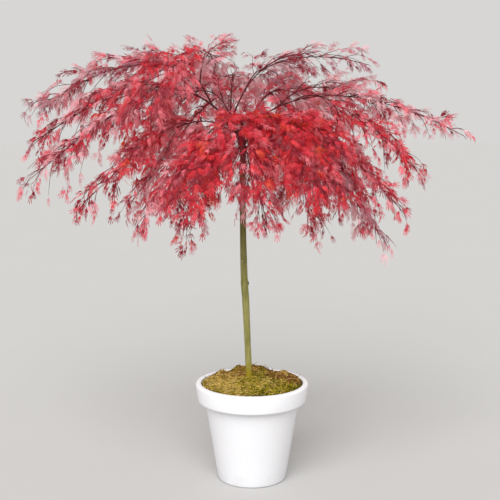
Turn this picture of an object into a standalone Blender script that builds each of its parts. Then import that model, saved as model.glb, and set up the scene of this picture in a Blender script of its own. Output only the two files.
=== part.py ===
"""Potted lace-leaf Japanese maple: a weeping standard in a white planter.

Metres, +Z up. The origin is on the floor, under the middle of the pot, and -Y faces the viewer.
A bough's centreline runs on as the stem of the foliage that it carries: it rises, arches over
and weeps, and a seeded rule sets twigs and leaves along it.
"""

import math
import random
from collections import namedtuple

import bmesh
import bpy
import numpy as np
from mathutils import Matrix, Vector, noise

# Touching solids
CLEAR = 0.0003                  # gap between pieces that touch
WALL_CLEAR = 1.5 * CLEAR        # the same, across a sloping wall
CUTTER_OVERRUN = 0.002          # a cutter starts this far before its limb
MERGE = 0.00001                 # doubles closer than this are one vertex
FINE_MERGE = 0.000001           # the same in a fused mass, whose leaves cross at fine angles

# Planter
POT_HEIGHT = 0.350
RIM_RADIUS = 0.200              # outside, at the top
BAND_HEIGHT = 0.067             # rim band, lip to lower edge
BAND_DRAFT = 0.0075             # how much the band narrows downwards
LIP_ROUND = 0.007               # outer top edge
BAND_ROUND = 0.009              # lower edge of the band
BAND_GROOVE = 0.004             # under the band
BODY_TOP_RADIUS = 0.166
BODY_DRAFT = 9.0                # degrees
BASE_RADIUS = 0.1225
BASE_ROUND = 0.008
LIP_INNER_RADIUS = 0.181
LIP_INNER_ROUND = 0.003
FLOOR_THICKNESS = 0.014
POT_STEPS = 36                  # facets round the pot and what fills it
WALL_HEIGHTS = (FLOOR_THICKNESS, 0.275, 0.300, POT_HEIGHT - LIP_INNER_ROUND)
WALL_RADII = (0.110, 0.157, 0.176, LIP_INNER_RADIUS)

# What fills it
SOIL_TOP = 0.318
MOSS_EDGE = 0.341               # height of the moss at the wall
MOSS_CROWN = 0.360              # and near the trunk
MOSS_ROUND = 2.4                # how flat its dome is
MOSS_BUMP = 0.005
MOSS_GRAIN = 28.0               # bumps to a metre
MOSS_RINGS = 5

# Trunk
TRUNK_HEIGHTS = (SOIL_TOP, 0.50, 0.65, 0.71, 0.86, 1.05, 1.17, 1.215, 1.278)
TRUNK_LEAN = (-0.008, -0.016, -0.022, -0.027, -0.031, -0.033, -0.031, -0.038, -0.086)
TRUNK_RADII = (0.0108, 0.0112, 0.0128, 0.0126, 0.0112, 0.0103, 0.0108, 0.0112, 0.0122)
ROOT_FLARE = 0.010              # extra radius where the trunk meets the soil
ROOT_FLARE_HEIGHT = 0.018       # height over which it fades
TRUNK_STEP = 0.075
TRUNK_SIDES = 4                 # bevel resolution, 12 sides
TRUNK_TOP = TRUNK_HEIGHTS[-1]
KNOB_ROUND = 0.008              # the fork's knob closes over this height

# Boughs and stems
BOUGH_END_RADIUS = 0.0034
STEM_END_RADIUS = 0.0020
BOUGH_SIDES = 1                 # bevel resolution, 6 sides
STEM_SIDES = 0                  # bevel resolution, 4 sides
BOUGH_STEP = 0.045
STEM_STEP = 0.085
STEM_LEAD = 0.012               # first of a stem that keeps its bough's direction
RISE_HANDLE = 0.26              # how far along its run a bough turns over
FALL_HANDLE = 0.34              # and from where it weeps
SWAY = 0.05                     # sideways bend, part of the run

# Twigs and leaves
TWIG_GAP = 0.145                # between pairs along a stem
TWIG_SHARE = 0.60               # a twig's radius, part of its stem's
TWIG_END_RADIUS = 0.0008
TWIG_ANGLE = (24.0, 44.0)       # degrees off the stem
TWIG_ROLLS = (20.0, 62.0)       # pairs lean by these in turn
TWIG_DROOP = 0.40
TWIG_WANDER = 0.05
TWIG_SIZES = (0.8, 1.1)
TWIG_POINTS = 2
LEAF_LENGTH = 0.112
LEAF_GAP = 0.064                # between leaves along a twig
LEAF_ANGLE = 0.90               # radians off the twig
LEAF_LEAN = 0.30                # radians that a pair's leaves rise over the horizontal
LEAF_DROOP = (0.05, 0.45)
LEAF_SIZES = (0.82, 1.12)
LAST_LEAF = 0.985               # how far along its twig the leaf at the tip is rooted
LEAF_APART = 0.053              # least distance between the middles of two leaves
LEAF_ROLL = 0.30                # how freely blades turn about their length
LEAF_THICKNESS = 0.030          # part of its length
LEAF_MIDDLE = 0.65              # part of its length
LOBE_ANGLES = (38.0, 0.0, -38.0)
LOBE_LENGTHS = (0.76, 1.0, 0.76)
NOTCH = 0.38                    # how far out the cuts between lobes end
SPACE_MARGIN = 0.007            # a leaf is this much nearer its own stem than any other
LIMB_MARGIN = 0.007             # and this far from any limb

# Each bough: the limb that carries it and where (height on the trunk, or part of a bough's line),
# its heading in degrees from +X, how far it reaches from the pot's axis, the height of the middle
# of its arch, the height and the slope of its tip, the bare part of its line, how far its twigs
# spread, its root's radius and its leaves' tint.
Plume = namedtuple("Plume", "name carrier at heading reach crest tip slope bare spread root tint")
PLUMES = tuple(Plume(*row) for row in (
    ("leader", "trunk", 1.262, 5, 0.215, 1.465, 1.505, -0.15, 0.48, 0.07, 0.0050, "dusk"),
    ("leader_spray", "leader", 0.38, 350, 0.385, 1.485, 1.46, 0.3, 0.20, 0.07, 0.0034, "dusk"),
    ("crown_left", "left_arm", 0.14, 156, 0.48, 1.465, 1.42, 0.5, 0.30, 0.17, 0.0056, "dusk"),
    ("crown_back", "crown_left", 0.16, 104, 0.40, 1.50, 1.37, 0.6, 0.22, 0.17, 0.0044, "rose"),
    ("crown_right", "leader", 0.20, 66, 0.38, 1.45, 1.37, 0.5, 0.22, 0.12, 0.0042, "dusk"),
    ("crown_front", "crown_left", 0.22, 218, 0.42, 1.45, 1.31, 0.8, 0.22, 0.16, 0.0038, "crimson"),
    ("left_arm", "trunk", 1.240, 181, 0.74, 1.38, 1.20, 0.75, 0.40, 0.14, 0.0085, "rose"),
    ("left_crest", "left_arm", 0.22, 170, 0.76, 1.455, 1.33, 0.5, 0.24, 0.15, 0.0047, "dusk"),
    ("left_sweep", "left_arm", 0.30, 192, 0.74, 1.29, 1.09, 0.8, 0.24, 0.14, 0.0040, "rose"),
    ("left_skirt", "trunk", 1.195, 203, 0.58, 1.24, 1.02, 0.9, 0.34, 0.13, 0.0065, "crimson"),
    ("left_fall", "front_left", 0.20, 214, 0.44, 1.18, 0.95, 1.1, 0.26, 0.13, 0.0037, "rose"),
    ("left_inner", "left_skirt", 0.30, 213, 0.27, 1.15, 0.92, 1.5, 0.20, 0.11, 0.0036, "rose"),
    ("right_arm", "trunk", 1.220, 0, 0.72, 1.355, 1.225, 0.5, 0.36, 0.09, 0.0074, "crimson"),
    ("right_crest", "right_arm", 0.20, 16, 0.55, 1.38, 1.27, 0.6, 0.22, 0.13, 0.0044, "rose"),
    ("right_sweep", "right_arm", 0.28, 348, 0.55, 1.30, 1.12, 0.8, 0.24, 0.13, 0.0038, "crimson"),
    ("right_skirt", "trunk", 1.180, 342, 0.52, 1.25, 0.98, 1.0, 0.32, 0.13, 0.0065, "crimson"),
    ("right_fall", "front_right", 0.20, 332, 0.485, 1.16, 0.89, 1.2, 0.26, 0.12, 0.0037, "rose"),
    ("right_inner", "right_skirt", 0.26, 314, 0.30, 1.12, 0.94, 1.3, 0.20, 0.12, 0.0036, "rose"),
    ("front_left", "trunk", 1.172, 243, 0.44, 1.22, 1.04, 0.9, 0.26, 0.17, 0.0065, "scarlet"),
    ("front_mid", "trunk", 1.236, 270, 0.42, 1.255, 1.09, 0.8, 0.24, 0.15, 0.0070, "scarlet"),
    ("front_right", "trunk", 1.160, 302, 0.46, 1.22, 1.06, 0.8, 0.26, 0.15, 0.0065, "scarlet"),
    ("front_brow", "front_mid", 0.12, 316, 0.38, 1.265, 1.18, 0.7, 0.14, 0.14, 0.0044, "scarlet"),
    ("front_low", "front_mid", 0.19, 280, 0.28, 1.16, 0.95, 1.3, 0.18, 0.13, 0.0036, "scarlet"),
    ("back_left", "trunk", 1.168, 138, 0.63, 1.36, 1.12, 0.8, 0.28, 0.16, 0.0065, "rose"),
    ("back_mid", "back_left", 0.13, 97, 0.60, 1.38, 1.08, 0.8, 0.22, 0.17, 0.0044, "rose"),
    ("back_right", "trunk", 1.196, 50, 0.63, 1.36, 1.11, 0.8, 0.28, 0.16, 0.0065, "rose"),
    ("back_low_left", "back_left", 0.24, 162, 0.46, 1.20, 0.98, 1.1, 0.22, 0.13, 0.0037, "rose"),
    ("back_low_right", "back_right", 0.26, 24, 0.46, 1.20, 0.98, 1.1, 0.22, 0.13, 0.0037, "crimson"),
))
LINE_POINTS = 41                # points kept on each centreline

# Colours
WHITE = (0.86, 0.86, 0.85)
EARTH = (0.035, 0.022, 0.014)
MOSS = (0.260, 0.200, 0.040)
OLIVE_BARK = (0.270, 0.250, 0.075)
DARK_BARK = (0.042, 0.016, 0.014)
TINTS = {
    "scarlet": (0.760, 0.040, 0.052),
    "crimson": (0.660, 0.036, 0.064),
    "rose": (0.640, 0.150, 0.190),
    "dusk": (0.360, 0.090, 0.125),
}

UP = np.array((0.0, 0.0, 1.0))
DOWN = -UP


# Helpers

def clear_scene():
    for thing in list(bpy.data.objects):
        bpy.data.objects.remove(thing, do_unlink=True)


def new_collection(name):
    group = bpy.data.collections.new(name)
    bpy.context.scene.collection.children.link(group)
    return group


def new_material(name, colour, roughness):
    material = bpy.data.materials.new(name)
    material.use_nodes = True
    shader = material.node_tree.nodes["Principled BSDF"]
    shader.inputs["Base Color"].default_value = (*colour, 1.0)
    shader.inputs["Roughness"].default_value = roughness
    material.diffuse_color = (*colour, 1.0)
    return material


def new_object(name, data, group, material=None):
    thing = bpy.data.objects.new(name, data)
    group.objects.link(thing)
    if material:
        data.materials.clear()
        data.materials.append(material)
    return thing


def evaluated_mesh(thing, merge=MERGE):
    """The mesh of an object as its modifiers or its curve's bevel leave it, with doubles merged."""
    bpy.context.view_layer.update()
    graph = bpy.context.evaluated_depsgraph_get()
    mesh = bpy.data.meshes.new_from_object(thing.evaluated_get(graph))
    bm = bmesh.new()
    bm.from_mesh(mesh)
    bmesh.ops.remove_doubles(bm, verts=bm.verts, dist=merge)
    bm.to_mesh(mesh)
    bm.free()
    return mesh


def triangulate(mesh):
    bm = bmesh.new()
    bm.from_mesh(mesh)
    bmesh.ops.triangulate(bm, faces=bm.faces)
    bm.to_mesh(mesh)
    bm.free()


def largest_island(mesh):
    """Keep a mesh's largest connected part, which drops loose scraps and the skin of any hollow."""
    bm = bmesh.new()
    bm.from_mesh(mesh)
    waiting = set(bm.verts)
    islands = []
    while waiting:
        reached = {waiting.pop()}
        edge_of_reach = list(reached)
        while edge_of_reach:
            vertex = edge_of_reach.pop()
            near = {edge.other_vert(vertex) for edge in vertex.link_edges} - reached
            reached |= near
            edge_of_reach += near
        waiting -= reached
        islands.append(reached)
    keep = max(islands, key=len)
    bmesh.ops.delete(bm, geom=[v for v in bm.verts if v not in keep], context="VERTS")
    closed = all(edge.is_manifold for edge in bm.edges)
    bm.to_mesh(mesh)
    bm.free()
    return closed


def unit(vector):
    return vector / np.linalg.norm(vector)


# Planter, soil and moss

def arc(centre_radius, centre_height, radius, start, end, steps):
    """Points of a turned profile on an arc, with angles in degrees."""
    angles = [math.radians(start + (end - start) * k / steps) for k in range(steps + 1)]
    return [(centre_radius + radius * math.cos(a), centre_height + radius * math.sin(a)) for a in angles]


def wall_radius(height):
    """Inside radius of the pot."""
    return float(np.interp(height, WALL_HEIGHTS, WALL_RADII))


def turned(name, profile, group, material):
    """A solid turned from a profile that ends on the axis, and runs down its outer side."""
    mesh = bpy.data.meshes.new(name)
    edges = [(k, k + 1) for k in range(len(profile) - 1)]
    mesh.from_pydata([(radius, 0.0, height) for radius, height in profile], edges, [])
    thing = new_object(name, mesh, group, material)
    screw = thing.modifiers.new("turn", "SCREW")
    screw.steps = POT_STEPS
    screw.render_steps = POT_STEPS
    screw.use_merge_vertices = True
    screw.merge_threshold = MERGE
    return thing


def make_pot(group):
    band_bottom = POT_HEIGHT - BAND_HEIGHT
    band_radius = RIM_RADIUS - BAND_DRAFT - BAND_ROUND
    inner_lip = LIP_INNER_RADIUS + LIP_INNER_ROUND
    profile = [(0.0, FLOOR_THICKNESS)]
    profile += list(zip(WALL_RADII, WALL_HEIGHTS))[:-1]
    profile += arc(inner_lip, POT_HEIGHT - LIP_INNER_ROUND, LIP_INNER_ROUND, 180, 90, 2)
    profile += arc(RIM_RADIUS - LIP_ROUND, POT_HEIGHT - LIP_ROUND, LIP_ROUND, 90, 0, 2)
    profile += arc(band_radius, band_bottom + BAND_ROUND, BAND_ROUND, 0, -90, 2)
    profile += [(BODY_TOP_RADIUS + 0.001, band_bottom), (BODY_TOP_RADIUS, band_bottom - BAND_GROOVE)]
    profile += arc(BASE_RADIUS - BASE_ROUND, BASE_ROUND, BASE_ROUND, -BODY_DRAFT, -90, 2)
    profile += [(0.0, 0.0)]
    return turned("pot", profile, group, new_material("white_planter", WHITE, 0.38))


def make_soil(group):
    side = [(wall_radius(height) - WALL_CLEAR, height) for height in (SOIL_TOP, *WALL_HEIGHTS[2:0:-1])]
    floor = FLOOR_THICKNESS + CLEAR
    profile = [(0.0, SOIL_TOP), *side, (wall_radius(floor) - WALL_CLEAR, floor), (0.0, floor)]
    return turned("potting_soil", profile, group, new_material("potting_soil", EARTH, 0.95))


def make_moss(group, trunk_cutter):
    """A low bumpy mound from wall to wall, with the trunk's foot cut out of it."""
    bottom = SOIL_TOP + CLEAR
    edge_radius = wall_radius(bottom) - WALL_CLEAR
    profile = []
    for k in range(MOSS_RINGS):
        share = k / MOSS_RINGS
        profile.append((edge_radius * share, MOSS_CROWN - (MOSS_CROWN - MOSS_EDGE) * share ** MOSS_ROUND))
    profile += [(edge_radius, MOSS_EDGE - 0.004), (edge_radius, bottom), (0.0, bottom)]
    mound = turned("mound", profile, group, None)
    mesh = evaluated_mesh(mound)
    bpy.data.objects.remove(mound, do_unlink=True)
    for vertex in mesh.vertices:
        if vertex.co.z > MOSS_EDGE - 0.001:
            vertex.co.z += MOSS_BUMP * noise.noise(vertex.co * MOSS_GRAIN)
    triangulate(mesh)
    moss = new_object("moss", mesh, group, new_material("moss", MOSS, 0.95))
    cut(moss, trunk_cutter)
    return moss


# Limbs

def trunk_centre(height):
    return np.array((np.interp(height, TRUNK_HEIGHTS, TRUNK_LEAN), 0.0, height))


def trunk_radius(height):
    flare = ROOT_FLARE * math.exp(-(height - SOIL_TOP) / ROOT_FLARE_HEIGHT)
    knob = min(1.0, math.sqrt(max(0.0, TRUNK_TOP - height) / KNOB_ROUND) + 0.45)
    return (float(np.interp(height, TRUNK_HEIGHTS, TRUNK_RADII)) + flare) * knob


def trunk_stations():
    """Heights of the trunk's rings: close at the flare and at the fork, even between."""
    foot = [SOIL_TOP + CLEAR + rise for rise in (0.0, 0.006, 0.014, 0.028, 0.055)]
    shaft = list(np.arange(foot[-1] + TRUNK_STEP, TRUNK_TOP - TRUNK_STEP / 2, TRUNK_STEP))
    return foot + shaft + [TRUNK_TOP - KNOB_ROUND, TRUNK_TOP - KNOB_ROUND / 3, TRUNK_TOP]


def triangle_section():
    """A three-point ring that gives twigs three sides."""
    curve = bpy.data.curves.new("three_sides", "CURVE")
    curve.dimensions = "2D"
    ring = curve.splines.new("POLY")
    ring.points.add(2)
    for k, point in enumerate(ring.points):
        angle = math.radians(90 + 120 * k)
        point.co = (math.cos(angle), math.sin(angle), 0.0, 1.0)
    ring.use_cyclic_u = True
    return bpy.data.objects.new("three_sides", curve)


def tube_mesh(name, points, radii, group, sides=None, section=None):
    """A tapering tube along points: round from its bevel depth, or with the sides of a section."""
    curve = bpy.data.curves.new(name, "CURVE")
    curve.dimensions = "3D"
    curve.use_fill_caps = True
    if section:
        curve.bevel_mode = "OBJECT"
        curve.bevel_object = section
    else:
        curve.bevel_depth = 1.0
        curve.bevel_resolution = sides
    spline = curve.splines.new("POLY")
    spline.points.add(len(points) - 1)
    for knot, point, radius in zip(spline.points, points, radii):
        knot.co = (*point, 1.0)
        knot.radius = radius
    tube = new_object(name, curve, group)
    mesh = evaluated_mesh(tube)
    bpy.data.objects.remove(tube, do_unlink=True)
    bpy.data.curves.remove(curve)
    bm = bmesh.new()
    bm.from_mesh(mesh)
    bmesh.ops.recalc_face_normals(bm, faces=bm.faces)
    bm.to_mesh(mesh)
    bm.free()
    return mesh


def round_shading(mesh):
    mesh.shade_smooth()
    mesh.set_sharp_from_angle(angle=math.radians(50))


def cutter_of(name, points, radii, sides, cutters):
    """A limb with its clearance on, to cut the roots of what it carries."""
    first_step = points[1] - points[0]
    overrun = CUTTER_OVERRUN / np.linalg.norm(first_step)
    first = points[0] - first_step * overrun
    first_radius = radii[0] + (radii[0] - radii[1]) * overrun
    last = points[-1] + unit(points[-1] - points[-2]) * CLEAR
    wider = [radius + CLEAR for radius in (first_radius, *radii[1:])]
    mesh = tube_mesh(name, [first, *points[1:-1], last], wider, cutters, sides)
    cutter = new_object("cutter_" + name, mesh, cutters)
    cutter.hide_render = True
    cutter.display_type = "WIRE"
    return cutter


def cut(thing, cutter):
    modifier = thing.modifiers.new("fork", "BOOLEAN")
    modifier.operation = "DIFFERENCE"
    modifier.object = cutter


def bezier(start, first, second, end, count):
    t = np.linspace(0.0, 1.0, count)[:, None]
    s = 1.0 - t
    return s ** 3 * start + 3 * s * s * t * first + 3 * s * t * t * second + t ** 3 * end


def along(line, share):
    """The point and the direction at a share of a line's points."""
    place = share * (len(line) - 1)
    k = min(int(place), len(line) - 2)
    step = line[k + 1] - line[k]
    return line[k] + step * (place - k), unit(step)


def line_length(line):
    return float(np.linalg.norm(np.diff(line, axis=0), axis=1).sum())


def centreline(plume, start):
    """The line of a bough and its foliage: up, over and down to a weeping tip."""
    rng = random.Random(plume.name)
    heading = math.radians(plume.heading)
    tip = np.array((plume.reach * math.cos(heading), plume.reach * math.sin(heading), plume.tip))
    run = (tip - start) * (1.0, 1.0, 0.0)
    sideways = np.array((-run[1], run[0], 0.0))
    fall_height = plume.tip + plume.slope * FALL_HANDLE * np.linalg.norm(run)
    rise_height = (8 * plume.crest - start[2] - plume.tip - 3 * fall_height) / 3
    rise = start + run * RISE_HANDLE + sideways * rng.uniform(-SWAY, SWAY)
    fall = tip - run * FALL_HANDLE + sideways * rng.uniform(-SWAY, SWAY)
    rise[2] = rise_height
    fall[2] = fall_height
    return bezier(start, rise, fall, tip, LINE_POINTS)


def all_centrelines():
    lines = {}
    waiting = list(PLUMES)
    while waiting:
        plume = waiting.pop(0)
        if plume.carrier == "trunk":
            lines[plume.name] = centreline(plume, trunk_centre(plume.at))
        elif plume.carrier in lines:
            lines[plume.name] = centreline(plume, along(lines[plume.carrier], plume.at)[0])
        else:
            waiting.append(plume)
    return lines


def bough_run(plume, line):
    """Points and radii of the bare part of a bough."""
    rings = max(4, round(line_length(line) * plume.bare / BOUGH_STEP))
    shares = [plume.bare * k / rings for k in range(rings + 1)]
    points = [along(line, share)[0] for share in shares]
    radii = [plume.root + (BOUGH_END_RADIUS - plume.root) * k / rings for k in range(rings + 1)]
    return points, radii


def make_trunk(group, cutters):
    heights = trunk_stations()
    points = [trunk_centre(height) for height in heights]
    points[0][0] = points[1][0]
    radii = [trunk_radius(height) for height in heights]
    mesh = tube_mesh("trunk", points, radii, group, TRUNK_SIDES)
    round_shading(mesh)
    new_object("trunk", mesh, group, new_material("trunk_bark", OLIVE_BARK, 0.70))
    return cutter_of("trunk", points, radii, TRUNK_SIDES, cutters)


def make_boughs(lines, group, cutters, trunk_cutter):
    bark = new_material("bough_bark", DARK_BARK, 0.75)
    cutter_of_limb = {"trunk": trunk_cutter}
    carriers = {plume.carrier for plume in PLUMES}
    for name in lines:
        plume = next(p for p in PLUMES if p.name == name)
        points, radii = bough_run(plume, lines[name])
        whole = new_object("whole", tube_mesh("whole", points, radii, group, BOUGH_SIDES), group)
        cut(whole, cutter_of_limb[plume.carrier])
        mesh = evaluated_mesh(whole)
        bpy.data.objects.remove(whole, do_unlink=True)
        largest_island(mesh)
        round_shading(mesh)
        new_object("bough_" + name, mesh, group, bark)
        if name in carriers:
            cutter_of_limb[name] = cutter_of("bough_" + name, points, radii, BOUGH_SIDES, cutters)


# Foliage

class Space:
    """Which foliage owns a place: that of the nearest stem, clear of every limb."""

    def __init__(self, lines):
        stems = []
        owners = []
        limbs = []
        for index, plume in enumerate(PLUMES):
            line = lines[plume.name]
            first_leafy = int(plume.bare * (LINE_POINTS - 1))
            stems.append(line[first_leafy:])
            owners += [index] * (LINE_POINTS - first_leafy)
            points, radii = bough_run(plume, line)
            for a, b, radius in zip(points, points[1:], radii):
                limbs += [(*(a + (b - a) * share), radius) for share in (0.0, 0.25, 0.5, 0.75, 1.0)]
        for height in np.arange(SOIL_TOP, TRUNK_TOP, 0.006):
            limbs.append((*trunk_centre(height), trunk_radius(height)))
        self.stems = np.concatenate(stems)
        self.owners = np.array(owners)
        self.limbs = np.array(limbs)

    def holds(self, index, points):
        points = np.atleast_2d(points)
        to_stems = np.linalg.norm(points[:, None] - self.stems[None], axis=2)
        own = to_stems[:, self.owners == index].min(axis=1)
        other = to_stems[:, self.owners != index].min(axis=1)
        to_limbs = np.linalg.norm(points[:, None] - self.limbs[None, :, :3], axis=2) - self.limbs[:, 3]
        return bool((own + SPACE_MARGIN < other).all() and to_limbs.min() > LIMB_MARGIN)


def side_way(way, roll, angle):
    """A direction at an angle off another, with its side set by a roll from the horizontal."""
    side = np.cross(way, UP)
    side = unit(side) if np.linalg.norm(side) > 0.001 else np.array((1.0, 0.0, 0.0))
    over = np.cross(side, way)
    outward = side * math.cos(roll) + over * math.sin(roll)
    return unit(way * math.cos(angle) + outward * math.sin(angle))


def drooping(start, way, size, rng):
    """Points of a twig that starts one way and bends towards the ground."""
    points = [start]
    for k in range(TWIG_POINTS):
        wander = np.array([rng.gauss(0.0, TWIG_WANDER) for _ in range(3)])
        way = unit(way + DOWN * TWIG_DROOP * (k + 0.5) / TWIG_POINTS + wander)
        points.append(points[-1] + way * size / TWIG_POINTS)
    return np.array(points)


def leaf_outline():
    """The blade's edge, root first: the tip of each lobe and the cuts between them."""
    outline = [(0.0, 0.0)]
    for k, (angle, size) in enumerate(zip(LOBE_ANGLES, LOBE_LENGTHS)):
        if k:
            between = math.radians((angle + LOBE_ANGLES[k - 1]) / 2)
            outline.append((NOTCH * math.cos(between), -NOTCH * math.sin(between)))
        lobe = math.radians(angle)
        outline.append((size * math.cos(lobe), -size * math.sin(lobe)))
    return outline


def leaf_mesh():
    """A flat lobed blade of unit length: a low sphere whose equator is drawn out to the outline."""
    outline = leaf_outline()
    bm = bmesh.new()
    bmesh.ops.create_uvsphere(bm, u_segments=len(outline), v_segments=2, radius=1.0)
    equator = [vertex for vertex in bm.verts if abs(vertex.co.z) < 0.5]
    equator.sort(key=lambda vertex: math.atan2(vertex.co.y, vertex.co.x))
    for vertex, (x, y) in zip(equator, outline):
        vertex.co = (x, y, 0.0)
    for vertex in bm.verts:
        if vertex not in equator:
            vertex.co = (NOTCH / 2, 0.0, math.copysign(LEAF_THICKNESS / 2, vertex.co.z))
    bmesh.ops.recalc_face_normals(bm, faces=bm.faces)
    mesh = bpy.data.meshes.new("leaf")
    bm.to_mesh(mesh)
    bm.free()
    return mesh


def leaf_matrix(root, way, twig_way, size, rng):
    """Where one leaf sits: its length along a way, its blade turned so that its twig passes beside it."""
    wander = np.array([rng.gauss(0.0, LEAF_ROLL) for _ in range(3)])
    side = unit(np.cross(way, twig_way + wander))
    face = np.cross(way, side)
    columns = np.array((way * size, side * size, face * size, root)).T
    return Matrix((*columns.tolist(), (0.0, 0.0, 0.0, 1.0)))


def leaf_point(matrix, x, y=0.0):
    return np.array(matrix @ Vector((x, y, 0.0)))


def leaf_fits(space, index, matrix, leaves):
    """Whether a leaf keeps to its own space and apart from the leaves that are there."""
    middle = leaf_point(matrix, LEAF_MIDDLE)
    near = any(np.linalg.norm(leaf_point(leaf, LEAF_MIDDLE) - middle) < LEAF_APART for leaf in leaves)
    edge = [leaf_point(matrix, x, y) for x, y in leaf_outline()[1:]]
    return not near and space.holds(index, np.array([*edge, middle]))


def twig_profile(share):
    """How long a side twig is along its stem: short at both ends, longest before the middle."""
    return 0.34 + 0.80 * math.sin(math.pi * min(1.0, 0.15 + 0.75 * share))


def place_twigs(plume, line, index, space):
    """Points and root radius of each side twig of one mass, in pairs up its stem."""
    rng = random.Random("twigs " + plume.name)
    stations = max(3, round(line_length(line) * (1.0 - plume.bare) / TWIG_GAP))
    twigs = []
    for k in range(stations):
        share = (k + 0.5) / stations
        root, way = along(line, plume.bare + (1.0 - plume.bare) * share)
        roll = math.radians(TWIG_ROLLS[k % 2]) + rng.gauss(0.0, 0.2)
        angle = math.radians(rng.uniform(*TWIG_ANGLE))
        for side_roll in (roll, math.pi - roll):
            size = plume.spread * twig_profile(share) * rng.uniform(*TWIG_SIZES)
            points = drooping(root, side_way(way, side_roll, angle), size, rng)
            if space.holds(index, points[1:]):
                stem_radius = BOUGH_END_RADIUS + (STEM_END_RADIUS - BOUGH_END_RADIUS) * share
                twigs.append((points, stem_radius * TWIG_SHARE))
    return twigs


def place_leaves(plume, line, twigs, index, space):
    """Where each leaf of one mass sits: along every twig, at its tip and at the stem's."""
    rng = random.Random("leaves " + plume.name)
    carriers = [points for points, _ in twigs] + [line[-3:]]
    leaves = []
    for points in carriers:
        count = max(1, round(line_length(points) / LEAF_GAP))
        for k in range(1, count + 1):
            root, way = along(points, k / count * LAST_LEAF)
            pair = [side_way(way, roll, LEAF_ANGLE) for roll in (LEAF_LEAN, math.pi - LEAF_LEAN)]
            for leaf_way in [way] if k == count else pair:
                bent = unit(leaf_way + DOWN * rng.uniform(*LEAF_DROOP))
                length = LEAF_LENGTH * rng.uniform(*LEAF_SIZES)
                matrix = leaf_matrix(root, bent, way, length, rng)
                if leaf_fits(space, index, matrix, leaves):
                    leaves.append(matrix)
    return leaves


def stem_run(plume, line):
    """Points and radii of a mass's stem, which starts in line with its bough's end."""
    points, _ = bough_run(plume, line)
    way = unit(points[-1] - points[-2])
    rings = max(3, round(line_length(line) * (1.0 - plume.bare) / STEM_STEP))
    run = [points[-1] + way * CLEAR, points[-1] + way * STEM_LEAD]
    run += [along(line, plume.bare + (1.0 - plume.bare) * k / rings)[0] for k in range(1, rings + 1)]
    radii = np.interp(range(len(run)), (0, len(run) - 1), (BOUGH_END_RADIUS, STEM_END_RADIUS))
    return run, list(radii)


def fuse(name, stem, pieces, group, material):
    """Join a stem with its twigs and leaves into one closed solid."""
    union = stem.modifiers.new("union", "BOOLEAN")
    union.operation = "UNION"
    union.operand_type = "COLLECTION"
    union.collection = pieces
    for solver in ("EXACT", "MANIFOLD"):
        union.solver = solver
        mesh = evaluated_mesh(stem, FINE_MERGE)
        if largest_island(mesh):
            break
    for piece in [stem, *pieces.objects]:
        bpy.data.objects.remove(piece, do_unlink=True)
    bpy.data.collections.remove(pieces)
    return new_object(name, mesh, group, material)


def make_mass(plume, index, line, space, section, leaf, group, materials):
    """One mass of foliage: a stem, side twigs and hanging leaves, fused."""
    twigs = place_twigs(plume, line, index, space)
    leaves = place_leaves(plume, line, twigs, index, space)
    points, radii = stem_run(plume, line)
    stem = new_object("stem", tube_mesh("stem", points, radii, group, STEM_SIDES), group)
    pieces = new_collection("pieces")
    for twig, radius in twigs:
        twig_radii = np.linspace(radius, TWIG_END_RADIUS, len(twig))
        new_object("twig", tube_mesh("twig", twig, twig_radii, group, section=section), pieces)
    for matrix in leaves:
        new_object("leaf", leaf, pieces).matrix_world = matrix
    fuse("foliage_" + plume.name, stem, pieces, group, materials[plume.tint])


def make_foliage(lines, group):
    space = Space(lines)
    section = triangle_section()
    leaf = leaf_mesh()
    materials = {tint: new_material("leaves_" + tint, colour, 0.60) for tint, colour in TINTS.items()}
    for index, plume in enumerate(PLUMES):
        make_mass(plume, index, lines[plume.name], space, section, leaf, group, materials)
    bpy.data.objects.remove(section, do_unlink=True)


def main():
    clear_scene()
    maple = new_collection("potted_lace_leaf_maple")
    cutters = new_collection("cutters")
    lines = all_centrelines()
    make_pot(maple)
    make_soil(maple)
    trunk_cutter = make_trunk(maple, cutters)
    make_moss(maple, trunk_cutter)
    make_boughs(lines, maple, cutters, trunk_cutter)
    make_foliage(lines, maple)


main()
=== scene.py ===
"""The looks of a potted lace-leaf Japanese maple: planter, moss, bark, twigs and leaves.

Metres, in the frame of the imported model: +Z up, the origin under the pot, -Y towards the viewer.
"""

import functools
import math
import random
from collections import namedtuple

import bmesh
import bpy
import numpy as np
from bpy.props import FloatProperty, FloatVectorProperty, IntProperty, PointerProperty
from mathutils import Matrix, Vector, noise


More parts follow.
